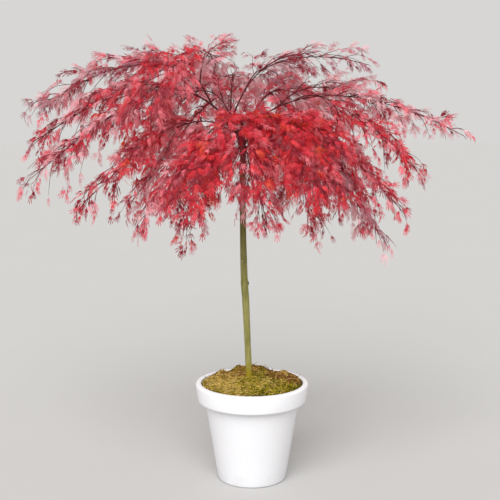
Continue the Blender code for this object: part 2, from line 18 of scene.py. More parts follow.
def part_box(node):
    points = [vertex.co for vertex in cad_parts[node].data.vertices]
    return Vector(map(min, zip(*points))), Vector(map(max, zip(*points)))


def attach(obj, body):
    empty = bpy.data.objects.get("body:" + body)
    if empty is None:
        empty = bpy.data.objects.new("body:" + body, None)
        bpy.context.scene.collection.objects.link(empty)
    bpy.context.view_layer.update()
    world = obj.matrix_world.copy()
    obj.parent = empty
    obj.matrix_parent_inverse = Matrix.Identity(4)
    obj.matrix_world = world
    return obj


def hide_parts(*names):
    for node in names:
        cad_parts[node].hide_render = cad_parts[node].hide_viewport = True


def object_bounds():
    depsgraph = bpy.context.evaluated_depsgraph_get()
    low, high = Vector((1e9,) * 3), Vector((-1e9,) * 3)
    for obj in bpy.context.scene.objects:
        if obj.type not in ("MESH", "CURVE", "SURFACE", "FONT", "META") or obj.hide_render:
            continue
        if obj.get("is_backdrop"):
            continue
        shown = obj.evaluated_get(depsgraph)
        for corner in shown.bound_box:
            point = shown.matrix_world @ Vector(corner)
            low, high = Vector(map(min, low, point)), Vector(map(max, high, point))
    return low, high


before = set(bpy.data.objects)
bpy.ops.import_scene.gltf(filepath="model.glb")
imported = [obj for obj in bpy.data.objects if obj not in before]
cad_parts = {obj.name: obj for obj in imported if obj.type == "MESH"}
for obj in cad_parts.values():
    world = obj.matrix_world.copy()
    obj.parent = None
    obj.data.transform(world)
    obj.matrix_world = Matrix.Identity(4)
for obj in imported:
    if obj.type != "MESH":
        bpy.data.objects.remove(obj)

bl_info = {
    "name": "Potted lace-leaf maple",
    "version": (1, 0, 0),
    "blender": (4, 5, 0),
    "location": "View3D > Sidebar > Maple",
    "description": "Dresses the packed model of a weeping lace-leaf maple in a white planter",
    "category": "Object",
}

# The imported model
CAD_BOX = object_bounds()
POT_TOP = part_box("pot")[1]
TRUNK_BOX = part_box("trunk")
BODY = "root"
MERGE = 0.00001                 # doubles closer than this are one vertex
MOST_TRIANGLES = 190000         # in one piece
OUTREACH = 0.012                # how far leaves may pass the box of all the solids
MASS_OUTREACH = 0.022           # and that of their own mass

# Planter
POT_HEIGHT = POT_TOP.z
RIM_RADIUS = POT_TOP.x
BAND_HEIGHT = 0.067             # rim band, lip to lower edge
BAND_DRAFT = 0.0075             # how much the band narrows downwards
LIP_ROUND = 0.007               # outer top edge
BAND_ROUND = 0.009              # lower edge of the band
BAND_GROOVE = 0.004             # under the band
BODY_TOP_RADIUS = 0.166
BODY_DRAFT = 9.0                # degrees
BASE_RADIUS = 0.1225
BASE_ROUND = 0.008
LIP_INNER_RADIUS = 0.181
LIP_INNER_ROUND = 0.003
FLOOR_THICKNESS = 0.014
WALL_HEIGHTS = (FLOOR_THICKNESS, 0.275, 0.300, POT_HEIGHT - LIP_INNER_ROUND)
WALL_RADII = (0.110, 0.157, 0.176, LIP_INNER_RADIUS)
POT_STEPS = 160                 # round the pot
ARC_STEPS = 6                   # round each edge of its profile

# Moss
SOIL_TOP = TRUNK_BOX[0].z
MOSS_EDGE = 0.344               # height of the moss at the wall
MOSS_CROWN = 0.360              # and near the trunk
MOSS_ROUND = 2.4                # how flat its dome is
MOSS_STEPS = 120
MOSS_RINGS = 44
MOSS_OCTAVES = ((16.0, 0.0050), (45.0, 0.0036), (130.0, 0.0016))
MOSS_MARGIN = 0.0015            # strands stay this far from the wall
WISPS = 0.03                    # part of the strands that stand up
WISP_RISE = 0.44                # parts of a strand's length
WISP_LEAN = 0.35
STRAND_SIZES = (0.5, 1.5)       # parts of a typical strand's length
STRAND_BEND = 1.8               # radians, either way
STRAND_LIFT = (0.001, 0.006)
STRAND_SUNK = 0.001             # ends start this far under the moss
STRAND_TAPER = (0.7, 1.0, 0.8, 0.15)
PATCH_RAGGED = 0.030            # how far the borders between patches wander
# Clumps: x, y, rise and radius
MOSS_CLUMPS = (
    (-0.112, 0.110, 0.010, 0.020), (-0.050, 0.128, 0.020, 0.024), (-0.006, 0.132, 0.022, 0.028),
    (0.034, 0.126, 0.018, 0.026), (0.118, 0.100, 0.016, 0.022), (0.125, 0.010, 0.008, 0.030),
    (-0.130, 0.030, 0.006, 0.030), (-0.060, -0.085, 0.005, 0.040), (0.050, -0.080, 0.005, 0.040),
    (-0.008, -0.016, 0.008, 0.026), (0.162, 0.010, 0.010, 0.030), (0.150, 0.070, 0.010, 0.026),
)
# Patches: x, y and the colour of most strands there
MOSS_PATCHES = (
    (-0.120, 0.080, "brown"), (-0.050, 0.060, "brown"), (-0.150, 0.010, "straw"), (-0.100, -0.050, "straw"),
    (-0.050, -0.030, "straw"), (-0.080, -0.120, "straw"), (-0.010, -0.010, "gold"), (-0.010, -0.070, "gold"),
    (0.020, -0.140, "olive"), (0.030, 0.030, "olive"), (0.040, 0.080, "olive"), (0.050, -0.060, "straw"),
    (0.080, -0.110, "gold"), (0.080, 0.050, "russet"), (0.120, 0.090, "brown"), (0.130, 0.000, "russet"),
    (0.110, -0.060, "olive"), (0.000, 0.130, "brown"), (-0.050, 0.140, "olive"), (0.060, 0.140, "russet"),
)
MOSS_DEALS = {
    "straw": (("straw", 60), ("gold", 22), ("brown", 10), ("olive", 8)),
    "gold": (("gold", 46), ("straw", 26), ("olive", 28)),
    "olive": (("olive", 62), ("gold", 26), ("straw", 12)),
    "brown": (("brown", 58), ("straw", 22), ("russet", 20)),
    "russet": (("russet", 52), ("brown", 32), ("olive", 8), ("straw", 8)),
}

# Trunk
TRUNK_TOP = 1.278               # the fork's knob
TRUNK_HEIGHTS = (SOIL_TOP, 0.50, 0.65, 0.71, 0.86, 1.05, 1.17, 1.215, TRUNK_TOP)
TRUNK_LEAN = (-0.008, -0.016, -0.022, -0.027, -0.031, -0.033, -0.031, -0.038, -0.086)
TRUNK_RADII = (0.0108, 0.0112, 0.0128, 0.0126, 0.0112, 0.0103, 0.0108, 0.0112, 0.0122)
ROOT_FLARE = 0.010              # extra radius where the trunk meets the soil
ROOT_FLARE_HEIGHT = 0.018       # height over which it fades
KNOB_ROUND = 0.012              # the fork's knob closes over this height
KNOB_RINGS = 7
TRUNK_SIDES = 36
TRUNK_STEP = 0.004
TRUNK_SOFTEN = 0.020            # the lean is evened out over this height
STUB_HEIGHT = 0.707             # a pruned side shoot
STUB_RADII = (0.0058, 0.0042)   # at the trunk and at its cut end
STUB_LENGTH = 0.010
STUB_EDGE = 0.0012              # the cut end's rounding
STUB_LEAN = 72.0                # degrees from upright
STUB_ROUGHNESS = 0.0006
# Scars: height and degrees round the trunk, and the size of one outwards, sideways and upwards
SCAR_MARKS = ((0.657, 215.0), (0.599, 200.0), (0.469, 325.0), (0.786, 250.0))
SCAR_SIZE = (0.0010, 0.0032, 0.0024)

# Boughs and stems
BOUGH_SLIMNESS = 0.65           # boughs are drawn this much thinner than their solids
BOUGH_END_RADIUS = 0.0019
STEM_END_RADIUS = 0.0010
STEM_STEP = 0.012
STEM_POINTS = 40                # on each stem when they are joined
STEM_SIDES = 8
BOUGH_SIDES = 12
BOUGH_STEP = 0.006
COLLAR = 0.40                   # how much a bough swells where it is carried
COLLAR_LENGTH = 0.012
JOINT_SPACING = 0.052           # between the ring scars of a bough
RISE_HANDLE = 0.26              # how far along its run a bough turns over
FALL_HANDLE = 0.34              # and from where it weeps
SWAY = 0.05                     # sideways bend, part of the run
LINE_POINTS = 41                # points kept on each centreline

# Each bough: the limb that carries it and where (height on the trunk, or part of a bough's line),
# its heading in degrees from +X, how far it reaches from the pot's axis, the height of the middle
# of its arch, the height and the slope of its tip, the bare part of its line, how far its twigs
# spread, its root's radius and its leaves' tint.
Plume = namedtuple("Plume", "name carrier at heading reach crest tip slope bare spread root tint")
PLUMES = tuple(Plume(*row) for row in (
    ("leader", "trunk", 1.262, 5, 0.215, 1.465, 1.505, -0.15, 0.48, 0.07, 0.0050, "mist"),
    ("leader_spray", "leader", 0.38, 350, 0.385, 1.485, 1.46, 0.3, 0.20, 0.07, 0.0034, "mist"),
    ("crown_left", "left_arm", 0.14, 156, 0.48, 1.465, 1.42, 0.5, 0.30, 0.17, 0.0056, "dusk"),
    ("crown_back", "crown_left", 0.16, 104, 0.40, 1.50, 1.37, 0.6, 0.22, 0.17, 0.0044, "blush"),
    ("crown_right", "leader", 0.20, 66, 0.38, 1.45, 1.37, 0.5, 0.22, 0.12, 0.0042, "mist"),
    ("crown_front", "crown_left", 0.22, 218, 0.42, 1.45, 1.31, 0.8, 0.22, 0.16, 0.0038, "crimson"),
    ("left_arm", "trunk", 1.240, 181, 0.74, 1.38, 1.20, 0.75, 0.40, 0.14, 0.0085, "rose"),
    ("left_crest", "left_arm", 0.22, 170, 0.76, 1.455, 1.33, 0.5, 0.24, 0.15, 0.0047, "dusk"),
    ("left_sweep", "left_arm", 0.30, 192, 0.74, 1.29, 1.09, 0.8, 0.24, 0.14, 0.0040, "rose"),
    ("left_skirt", "trunk", 1.195, 203, 0.58, 1.24, 1.02, 0.9, 0.34, 0.13, 0.0065, "crimson"),
    ("left_fall", "front_left", 0.20, 214, 0.44, 1.18, 0.95, 1.1, 0.26, 0.13, 0.0037, "rose"),
    ("left_inner", "left_skirt", 0.30, 213, 0.27, 1.15, 0.92, 1.5, 0.20, 0.11, 0.0036, "rose"),
    ("right_arm", "trunk", 1.220, 0, 0.72, 1.355, 1.225, 0.5, 0.36, 0.09, 0.0074, "blush"),
    ("right_crest", "right_arm", 0.20, 16, 0.55, 1.38, 1.27, 0.6, 0.22, 0.13, 0.0044, "blush"),
    ("right_sweep", "right_arm", 0.28, 348, 0.55, 1.30, 1.12, 0.8, 0.24, 0.13, 0.0038, "crimson"),
    ("right_skirt", "trunk", 1.180, 342, 0.52, 1.25, 0.98, 1.0, 0.32, 0.13, 0.0065, "crimson"),
    ("right_fall", "front_right", 0.20, 332, 0.485, 1.16, 0.89, 1.2, 0.26, 0.12, 0.0037, "dusk"),
    ("right_inner", "right_skirt", 0.26, 314, 0.30, 1.12, 0.94, 1.3, 0.20, 0.12, 0.0036, "rose"),
    ("front_left", "trunk", 1.172, 243, 0.44, 1.22, 1.04, 0.9, 0.26, 0.17, 0.0065, "scarlet"),
    ("front_mid", "trunk", 1.236, 270, 0.42, 1.255, 1.09, 0.8, 0.24, 0.15, 0.0070, "scarlet"),
    ("front_right", "trunk", 1.160, 302, 0.46, 1.22, 1.06, 0.8, 0.26, 0.15, 0.0065, "scarlet"),
    ("front_brow", "front_mid", 0.12, 316, 0.38, 1.265, 1.18, 0.7, 0.14, 0.14, 0.0044, "scarlet"),
    ("front_low", "front_mid", 0.19, 280, 0.28, 1.16, 0.95, 1.3, 0.18, 0.13, 0.0036, "rose"),
    ("back_left", "trunk", 1.168, 138, 0.63, 1.36, 1.12, 0.8, 0.28, 0.16, 0.0065, "rose"),
    ("back_mid", "back_left", 0.13, 97, 0.60, 1.38, 1.08, 0.8, 0.22, 0.17, 0.0044, "blush"),
    ("back_right", "trunk", 1.196, 50, 0.63, 1.36, 1.11, 0.8, 0.28, 0.16, 0.0065, "rose"),
    ("back_low_left", "back_left", 0.24, 162, 0.46, 1.20, 0.98, 1.1, 0.22, 0.13, 0.0037, "rose"),
    ("back_low_right", "back_right", 0.26, 24, 0.46, 1.20, 0.98, 1.1, 0.22, 0.13, 0.0037, "crimson"),
))

# Twigs
TWIG_EARLY = 0.14               # part of the line before its bare part ends where twigs start
TWIG_GAP = 0.038                # between stations along a stem
TWIG_ROLLS = (12.0, 46.0)       # degrees; pairs lean by these in turn
TWIG_ANGLE = (22.0, 42.0)       # degrees off the stem
TWIG_SIZES = (0.75, 1.15)
TWIG_DROOP = (0.20, 0.20)       # at a level tip, and added for each unit of the tip's slope
TWIG_WANDER = 0.06
TWIG_POINTS = 5
TWIG_RADII = (0.0013, 0.0006)   # at the root and at the tip
TWIG_SIDES = 5
UNDER_TWIG = 0.8                # size of the third twig, which hangs under every second station
LAST_TWIG = 0.28                # size of the one that carries on from the stem
SPACE_MARGIN = 0.004            # a twig is this much nearer its own stem than any other

# Shoots
SHOOT_GAP = 0.020
SHOOT_ANGLE = (16.0, 34.0)
SHOOT_ROLL = (-0.5, 0.9)        # radians
SHOOT_LENGTH = (0.035, 0.080)
SHOOT_TAPER = 0.55              # how much shorter shoots are at the stem's tip
SHOOT_DROOP = 0.16
SHOOT_WANDER = 0.08
SHOOT_POINTS = 3
SHOOT_RADII = (0.0007, 0.0004)
SHOOT_SIDES = 3
SHOOT_STRAY = 0.030             # how far a shoot may pass into another mass

# Leaves
LEAF_ANGLE = (14.0, 40.0)
LEAF_ROLL = 0.6                 # radians, either way
LEAF_DROOP = (-0.15, 0.22)
LEAF_WANDER = 0.18
LEAF_TURN = 0.75                # radians, how freely blades turn about their length
LEAF_SIZES = (0.75, 1.20)
STALK = 0.26                    # part of the blade's length
STALK_WIDTH = 0.016
LOBES = ((0.0, 1.0), (19.0, 0.90), (-19.0, 0.90), (42.0, 0.62), (-42.0, 0.62))
LOBE_SHARES = (0.0, 0.40, 0.56, 0.74, 1.0)
LOBE_WIDTHS = (0.0, 0.050, 0.024, 0.042, 0.0)
SMALL_LOBE = 0.65               # lobes shorter than this have no teeth
SMALL_LOBE_SHARES = (0.0, 0.45, 1.0)
SMALL_LOBE_WIDTHS = (0.0, 0.032, 0.0)
LEAF_FOLD = 0.55                # how steeply a lobe's halves rise from its rib
# Shapes of leaf: how far lobes curl down, the blade's bend and its spread
LEAF_SHAPES = ((0.16, 6.0, 0.85), (0.30, 14.0, 0.70), (0.45, 20.0, 0.55), (0.08, 2.0, 1.05))

# The part of the shoots that grow, by tint of mass, and how much thinner a mass is at its tip
FULLNESS = {"scarlet": 1.3, "crimson": 0.66, "rose": 0.54, "dusk": 0.52, "blush": 0.48, "mist": 0.38}
TIP_THINNING = 0.46
DARK_TIPS = 0.24                # part of the sprays at a stem's tip that are burgundy
# Where leaves in front of the trunk's top are thinned, so that it shows
WINDOW_HEIGHTS = (1.08, 1.27)
WINDOW_WIDTH = 0.056
WINDOW_THINNING = 0.90

# How the leaves of each mass are dealt to colours, spray by spray
DEALS = {
    "scarlet": (("scarlet", 40), ("crimson", 24), ("flame", 7), ("cherry", 18), ("burgundy", 11)),
    "crimson": (("crimson", 26), ("scarlet", 16), ("cherry", 36), ("burgundy", 8), ("rose", 10),
                ("flame", 4)),
    "rose": (("rose", 32), ("crimson", 16), ("cherry", 30), ("blush", 14), ("burgundy", 6), ("flame", 2)),
    "dusk": (("dusk", 26), ("rose", 32), ("blush", 20), ("burgundy", 8), ("cherry", 14)),
    # Masses of this tint take mostly pale pink leaves, a painted highlight.
    "blush": (("rose", 34), ("blush", 38), ("cherry", 24), ("crimson", 4)),
    "mist": (("dusk", 20), ("rose", 32), ("blush", 40), ("burgundy", 8)),
}
# The record's slot that each colour of leaf belongs to
LEAF_SLOTS = {
    "scarlet": "leaves_scarlet", "flame": "leaves_scarlet", "crimson": "leaves_crimson",
    "cherry": "leaves_crimson", "rose": "leaves_rose", "blush": "leaves_rose", "burgundy": "leaves_dusk",
    "dusk": "leaves_dusk",
}

# Stage
KEY_WAY = (-0.12, -0.74, 0.66)  # where the soft light comes from
KEY_SPREAD = 50.0               # degrees
FLOOR_RADIUS = 40.0

UP = np.array((0.0, 0.0, 1.0))
DOWN = -UP


# Settings

def length_property(label, text, default):
    return FloatProperty(name=label, description=text, default=default, min=0.0, unit="LENGTH")


def share_property(label, text, default):
    return FloatProperty(name=label, description=text, default=default, min=0.0, max=1.0, subtype="FACTOR")


def colour_property(label, text, default):
    return FloatVectorProperty(name=label, description=text, default=default, size=3, min=0.0, max=1.0,
                               subtype="COLOR")


class MaplePlanterSettings(bpy.types.PropertyGroup):
    white: colour_property("White", "Colour of the planter", (0.795, 0.795, 0.815))
    shade: colour_property("Shade", "Faint second tone of the planter", (0.765, 0.765, 0.790))
    soil: colour_property("Soil", "Colour of the potting soil", (0.035, 0.022, 0.014))
    gloss: share_property("Roughness", "Roughness of the planter's finish", 0.34)


class MapleMossSettings(bpy.types.PropertyGroup):
    strands: IntProperty(name="Strands", description="Number of loose strands", default=5000, min=0)
    strand_length: length_property("Strand length", "Length of a typical strand", 0.038)
    strand_width: length_property("Strand width", "Width of a strand at its middle", 0.0023)
    # Deep: the moss's own dark tone down between the strands, together with painted shade of the gaps.
    deep: colour_property("Deep", "Colour down in the moss", (0.070, 0.044, 0.008))
    olive: colour_property("Olive", "Green strands", (0.150, 0.130, 0.005))
    straw: colour_property("Straw", "Dry pale strands", (0.780, 0.550, 0.160))
    gold: colour_property("Gold", "Yellow-green strands", (0.450, 0.360, 0.016))
    brown: colour_property("Brown", "Old brown strands", (0.440, 0.240, 0.050))
    russet: colour_property("Russet", "Red-brown strands", (0.210, 0.085, 0.026))


class MapleBarkSettings(bpy.types.PropertyGroup):
    olive: colour_property("Young bark", "Green bark of the stem", (0.225, 0.215, 0.045))
    pale: colour_property("Pale streaks", "Light streaks on the green bark", (0.490, 0.460, 0.190))
    foot: colour_property("Foot", "Mossy green at the foot of the stem", (0.260, 0.200, 0.006))
    dark: colour_property("Old bark", "Brown bark of the fork and boughs", (0.038, 0.011, 0.011))
    wine: colour_property("Twigs", "Colour of young twigs", (0.100, 0.013, 0.020))
    relief: share_property("Relief", "Height of the bark's ridges as a part of the radius", 0.05)
    greening: length_property("Brown above", "Height at which the green bark turns brown", 1.130)


class MapleCrownSettings(bpy.types.PropertyGroup):
    leaf_length: length_property("Leaf length", "Length of a typical blade", 0.034)
    leaf_gap: length_property("Leaf gap", "Distance between pairs of leaves on a shoot", 0.016)
    glow: share_property("Glow", "How much light passes through a leaf", 0.40)
    scarlet: colour_property("Scarlet", "Bright red leaves", (0.860, 0.042, 0.062))
    crimson: colour_property("Crimson", "Deep red leaves", (0.800, 0.048, 0.084))
    cherry: colour_property("Cherry", "Pinkish red leaves", (0.930, 0.210, 0.260))
    flame: colour_property("Flame", "Orange-red leaves", (0.880, 0.085, 0.038))
    rose: colour_property("Rose", "Dusty pink leaves", (0.920, 0.410, 0.460))
    # Painted highlight: pale pink leaves that stand in for the sheen on leaves, and that lighten the back
    # and upper right of the crown.
    blush: colour_property("Blush", "Pale pink leaves", (0.950, 0.620, 0.650))
    burgundy: colour_property("Burgundy", "Dark red leaves", (0.440, 0.036, 0.064))
    dusk: colour_property("Dusk", "Purple-grey leaves", (0.540, 0.230, 0.285))


class MapleStageSettings(bpy.types.PropertyGroup):
    eye_height: length_property("Eye height", "Height of the camera", 1.300)
    eye_distance: length_property("Distance", "From the camera to the trunk", 3.400)
    eye_side: FloatProperty(name="Side", description="The camera's place along X", default=-0.007,
                            unit="LENGTH")
    aim_height: length_property("Aim", "Height of the middle of the picture, at the trunk", 0.8238)
    lens: FloatProperty(name="Lens", description="Focal length", default=70.7, unit="CAMERA")
    sky: colour_property("Sky", "Colour of the light from all round", (0.680, 0.672, 0.660))
    floor: colour_property("Floor", "Colour of the floor", (0.495, 0.489, 0.480))
    key: FloatProperty(name="Key light", description="Strength of the soft light from the front",
                       default=3.3, min=0.0)


# Meshes

def unit(vector):
    return vector / np.linalg.norm(vector)


def new_piece(name, mesh, material, slot, replaced=()):
    """Link a piece that rides on the tree's one body, with its finish, and hide the nodes it stands for."""
    piece = bpy.data.objects.new(name, mesh)
    bpy.context.scene.collection.objects.link(piece)
    mesh.materials.append(material)
    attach(piece, BODY)
    if replaced:
        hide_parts(*replaced)
    return piece


def mesh_of(bm, name, smooth=True, sharp_angle=None):
    """Turn a bmesh into a mesh with its doubles merged and its faces pointing out."""
    bmesh.ops.remove_doubles(bm, verts=bm.verts, dist=MERGE)
    bmesh.ops.recalc_face_normals(bm, faces=bm.faces)
    mesh = bpy.data.meshes.new(name)
    bm.to_mesh(mesh)
    bm.free()
    if smooth:
        mesh.shade_smooth()
    if sharp_angle:
        mesh.set_sharp_from_angle(angle=math.radians(sharp_angle))
    return mesh


def joined_mesh(name, points, corners, sizes):
    """A mesh of many small shapes from arrays: points, face corners, and corners to a face."""
    mesh = bpy.data.meshes.new(name)
    mesh.vertices.add(len(points))
    mesh.vertices.foreach_set("co", np.asarray(points, np.float32).ravel())
    mesh.loops.add(len(corners))
    mesh.loops.foreach_set("vertex_index", np.asarray(corners, np.int32))
    mesh.polygons.add(len(sizes))
    starts = np.concatenate(([0], np.cumsum(sizes)[:-1]))
    mesh.polygons.foreach_set("loop_start", starts.astype(np.int32))
    mesh.update(calc_edges=True)
    mesh.validate()
    return mesh


def arrays_of(bm):
    """A small bmesh as arrays: its points, face corners, and corners to a face."""
    bm.verts.index_update()
    points = np.array([vertex.co for vertex in bm.verts])
    corners = np.array([vertex.index for face in bm.faces for vertex in face.verts])
    sizes = np.array([len(face.verts) for face in bm.faces])
    bm.free()
    return points, corners, sizes


def repeated(corners, sizes, count, points_each):
    """Face corners and sizes of a shape that is repeated."""
    shifts = np.arange(count)[:, None] * points_each
    return (corners[None] + shifts).ravel(), np.tile(sizes, count)


def cylinder(sides, rings):
    """A closed straight cylinder of quads, with its rings evenly spaced from z 0 to z 1."""
    bm = bmesh.new()
    bmesh.ops.create_cone(bm, cap_ends=True, segments=sides, radius1=1.0, radius2=1.0, depth=1.0,
                          matrix=Matrix.Translation((0.0, 0.0, 0.5)))
    uprights = [edge for edge in bm.edges if abs(edge.verts[0].co.z - edge.verts[1].co.z) > 0.5]
    bmesh.ops.subdivide_edges(bm, edges=uprights, cuts=rings - 2, use_grid_fill=True)
    return bm


def line_frames(line, side):
    """Two directions across a line at each of its points, turned as little as they can be."""
    ways = np.gradient(line, axis=0)
    ways /= np.linalg.norm(ways, axis=1)[:, None]
    sides = side - ways * (ways @ side)[:, None]
    sides /= np.linalg.norm(sides, axis=1)[:, None]
    return sides, np.cross(ways, sides)


def limb(line, radii, sides, side, relief):
    """A closed tapering limb: a cylinder bent onto a line, with its bark's relief."""
    bm = cylinder(sides, len(line))
    across, over = line_frames(line, side)
    lengths = np.concatenate(([0.0], np.cumsum(np.linalg.norm(np.diff(line, axis=0), axis=1))))
    for vertex in bm.verts:
        ring = round(vertex.co.z * (len(line) - 1))
        x, y = vertex.co.x, vertex.co.y
        radius = radii[ring] * (1.0 + relief(x, y, lengths[ring]))
        vertex.co = line[ring] + (across[ring] * x + over[ring] * y) * radius
    return bm


def tubes(lines, radii, sides):
    """Arrays of many thin tubes along lines that have the same number of points."""
    lines = np.asarray(lines)
    count, rings = lines.shape[:2]
    shape, corners, sizes = arrays_of(cylinder(sides, rings))
    ring = np.rint(shape[:, 2] * (rings - 1)).astype(int)
    ways = np.gradient(lines, axis=1)
    ways /= np.linalg.norm(ways, axis=2)[..., None]
    side = np.cross(ways[:, 0], UP) + (0.001, 0.0, 0.0)
    across = side[:, None] - ways * np.einsum("nrk,nk->nr", ways, side)[..., None]
    across /= np.linalg.norm(across, axis=2)[..., None]
    over = np.cross(ways, across)
    offsets = across[:, ring] * shape[None, :, :1] + over[:, ring] * shape[None, :, 1:2]
    points = lines[:, ring] + offsets * np.asarray(radii)[:, ring][..., None]
    return points.reshape(-1, 3), *repeated(corners, sizes, count, len(shape))


# Materials

def set_inputs(tree, made, inputs):
    """Link the inputs of a node that come from other nodes, and set the others to their values."""
    for name, value in inputs.items():
        if isinstance(value, bpy.types.NodeSocket):
            tree.links.new(value, made.inputs[name])
        else:
            made.inputs[name].default_value = value
    return made


def node(tree, kind, inputs=None, **settings):
    """Add a shader node with its settings and inputs."""
    made = tree.nodes.new(kind)
    for name, value in settings.items():
        setattr(made, name, value)
    return set_inputs(tree, made, inputs or {})


def new_group(name, inputs, outputs):
    """An empty shader node group, with sockets of the kinds Float and Color."""
    tree = bpy.data.node_groups.new(name, "ShaderNodeTree")
    for socket, kind, default in inputs:
        made = tree.interface.new_socket(socket, in_out="INPUT", socket_type="NodeSocket" + kind)
        made.default_value = default
    for socket, kind in outputs:
        tree.interface.new_socket(socket, in_out="OUTPUT", socket_type="NodeSocket" + kind)
    return tree, tree.nodes.new("NodeGroupInput"), tree.nodes.new("NodeGroupOutput")


def rgba(colour):
    return (*colour, 1.0)


def toned(colour, share):
    """A colour made darker or lighter by a share."""
    return [channel * share for channel in colour]


@functools.lru_cache(maxsize=None)
def mottle_group():
    """Two colours that drift into each other, for leaves, moss, soil, bark and planter."""
    tree, given, out = new_group(
        "mottle",
        (("First", "Color", rgba((1, 1, 1))), ("Second", "Color", rgba((0, 0, 0))),
         ("Scale", "Float", 20.0), ("Contrast", "Float", 1.0)),
        (("Colour", "Color"), ("Mask", "Float")))
    place = node(tree, "ShaderNodeTexCoord")
    cloud = node(tree, "ShaderNodeTexNoise", {
        "Vector": place.outputs["Object"], "Scale": given.outputs["Scale"], "Detail": 3.0})
    away = node(tree, "ShaderNodeMath", {0: cloud.outputs["Fac"], 1: 0.5}, operation="SUBTRACT")
    spread = node(tree, "ShaderNodeMath", {
        0: away.outputs[0], 1: given.outputs["Contrast"], 2: 0.5}, operation="MULTIPLY_ADD", use_clamp=True)
    mixed = mix_colours(tree, spread.outputs[0], given.outputs["First"], given.outputs["Second"])
    tree.links.new(mixed, out.inputs["Colour"])
    tree.links.new(spread.outputs[0], out.inputs["Mask"])
    return tree


def mix_colours(tree, factor, first, second):
    """The colour output of a mix of two colours, whose sockets come after those for plain numbers."""
    mixed = node(tree, "ShaderNodeMix", {0: factor, 6: first, 7: second}, data_type="RGBA")
    return mixed.outputs[2]


@functools.lru_cache(maxsize=None)
def bark_group():
    """Fine streaks along the stem and small raised pores, as colour masks and a height."""
    tree, given, out = new_group(
        "bark_grain",
        (("Scale", "Float", 120.0), ("Stretch", "Float", 0.12), ("Pores", "Float", 0.5)),
        (("Streaks", "Float"), ("Pores", "Float"), ("Height", "Float")))
    place = node(tree, "ShaderNodeTexCoord")
    drawn_out = node(tree, "ShaderNodeCombineXYZ", {"X": 1.0, "Y": 1.0, "Z": given.outputs["Stretch"]})
    along = node(tree, "ShaderNodeVectorMath", {
        0: place.outputs["Object"], 1: drawn_out.outputs[0]}, operation="MULTIPLY")
    streaks = node(tree, "ShaderNodeTexNoise", {
        "Vector": along.outputs[0], "Scale": given.outputs["Scale"], "Detail": 5.0, "Roughness": 0.62})
    sharper = node(tree, "ShaderNodeMapRange", {
        "Value": streaks.outputs["Fac"], "From Min": 0.34, "From Max": 0.66})
    cells = node(tree, "ShaderNodeTexVoronoi", {
        "Vector": place.outputs["Object"], "Scale": given.outputs["Scale"]})
    dots = node(tree, "ShaderNodeMapRange", {
        "Value": cells.outputs["Distance"], "From Min": 0.16, "From Max": 0.30,
        "To Min": 1.0, "To Max": 0.0})
    strewn = node(tree, "ShaderNodeTexNoise", {
        "Vector": place.outputs["Object"], "Scale": 45.0, "Detail": 1.0})
    few = node(tree, "ShaderNodeMapRange", {
        "Value": strewn.outputs["Fac"], "From Min": 0.48, "From Max": 0.60})
    some = node(tree, "ShaderNodeMath", {0: dots.outputs[0], 1: few.outputs[0]}, operation="MULTIPLY")
    pores = node(tree, "ShaderNodeMath", {
        0: some.outputs[0], 1: given.outputs["Pores"]}, operation="MULTIPLY")
    height = node(tree, "ShaderNodeMath", {
        0: sharper.outputs[0], 1: 0.6, 2: pores.outputs[0]}, operation="MULTIPLY_ADD")
    tree.links.new(sharper.outputs[0], out.inputs["Streaks"])
    tree.links.new(pores.outputs[0], out.inputs["Pores"])
    tree.links.new(height.outputs[0], out.inputs["Height"])
    return tree


@functools.lru_cache(maxsize=None)
def rise_group():
    """A mask that goes from 0 to 1 over a band of heights, with a ragged edge."""
    tree, given, out = new_group(
        "rise",
        (("Low", "Float", 0.0), ("High", "Float", 1.0), ("Ragged", "Float", 0.1), ("Scale", "Float", 8.0)),
        (("Mask", "Float"),))
    place = node(tree, "ShaderNodeTexCoord")
    height = node(tree, "ShaderNodeSeparateXYZ", {"Vector": place.outputs["Object"]})
    cloud = node(tree, "ShaderNodeTexNoise", {
        "Vector": place.outputs["Object"], "Scale": given.outputs["Scale"], "Detail": 4.0})
    shift = node(tree, "ShaderNodeMath", {0: cloud.outputs["Fac"], 1: 0.5}, operation="SUBTRACT")
    ragged = node(tree, "ShaderNodeMath", {
        0: shift.outputs[0], 1: given.outputs["Ragged"], 2: height.outputs["Z"]}, operation="MULTIPLY_ADD")
    mask = node(tree, "ShaderNodeMapRange", {
        "Value": ragged.outputs[0], "From Min": given.outputs["Low"], "From Max": given.outputs["High"]},
        interpolation_type="SMOOTHSTEP")
    tree.links.new(mask.outputs[0], out.inputs["Mask"])
    return tree


def new_material(name):
    """A material with its node tree and its Principled shader."""
    material = bpy.data.materials.new(name)
    material.use_nodes = True
    return material, material.node_tree, material.node_tree.nodes["Principled BSDF"]


def use_group(tree, group, inputs):
    return node(tree, "ShaderNodeGroup", inputs, node_tree=group)


def add_bump(tree, shader, height, distance, strength=1.0):
    bump = node(tree, "ShaderNodeBump", {"Height": height, "Distance": distance, "Strength": strength})
    tree.links.new(bump.outputs["Normal"], shader.inputs["Normal"])


def mottled_material(name, first, second, scale, contrast, roughness, bump=0.0, specular=0.5):
    """A finish of two tones, with a bump that follows them."""
    material, tree, shader = new_material(name)
    mottle = use_group(tree, mottle_group(), {
        "First": rgba(first), "Second": rgba(second), "Scale": scale, "Contrast": contrast})
    tree.links.new(mottle.outputs["Colour"], shader.inputs["Base Color"])
    shader.inputs["Roughness"].default_value = roughness
    shader.inputs["Specular IOR Level"].default_value = specular
    if bump:
        add_bump(tree, shader, mottle.outputs["Mask"], bump)
    return material


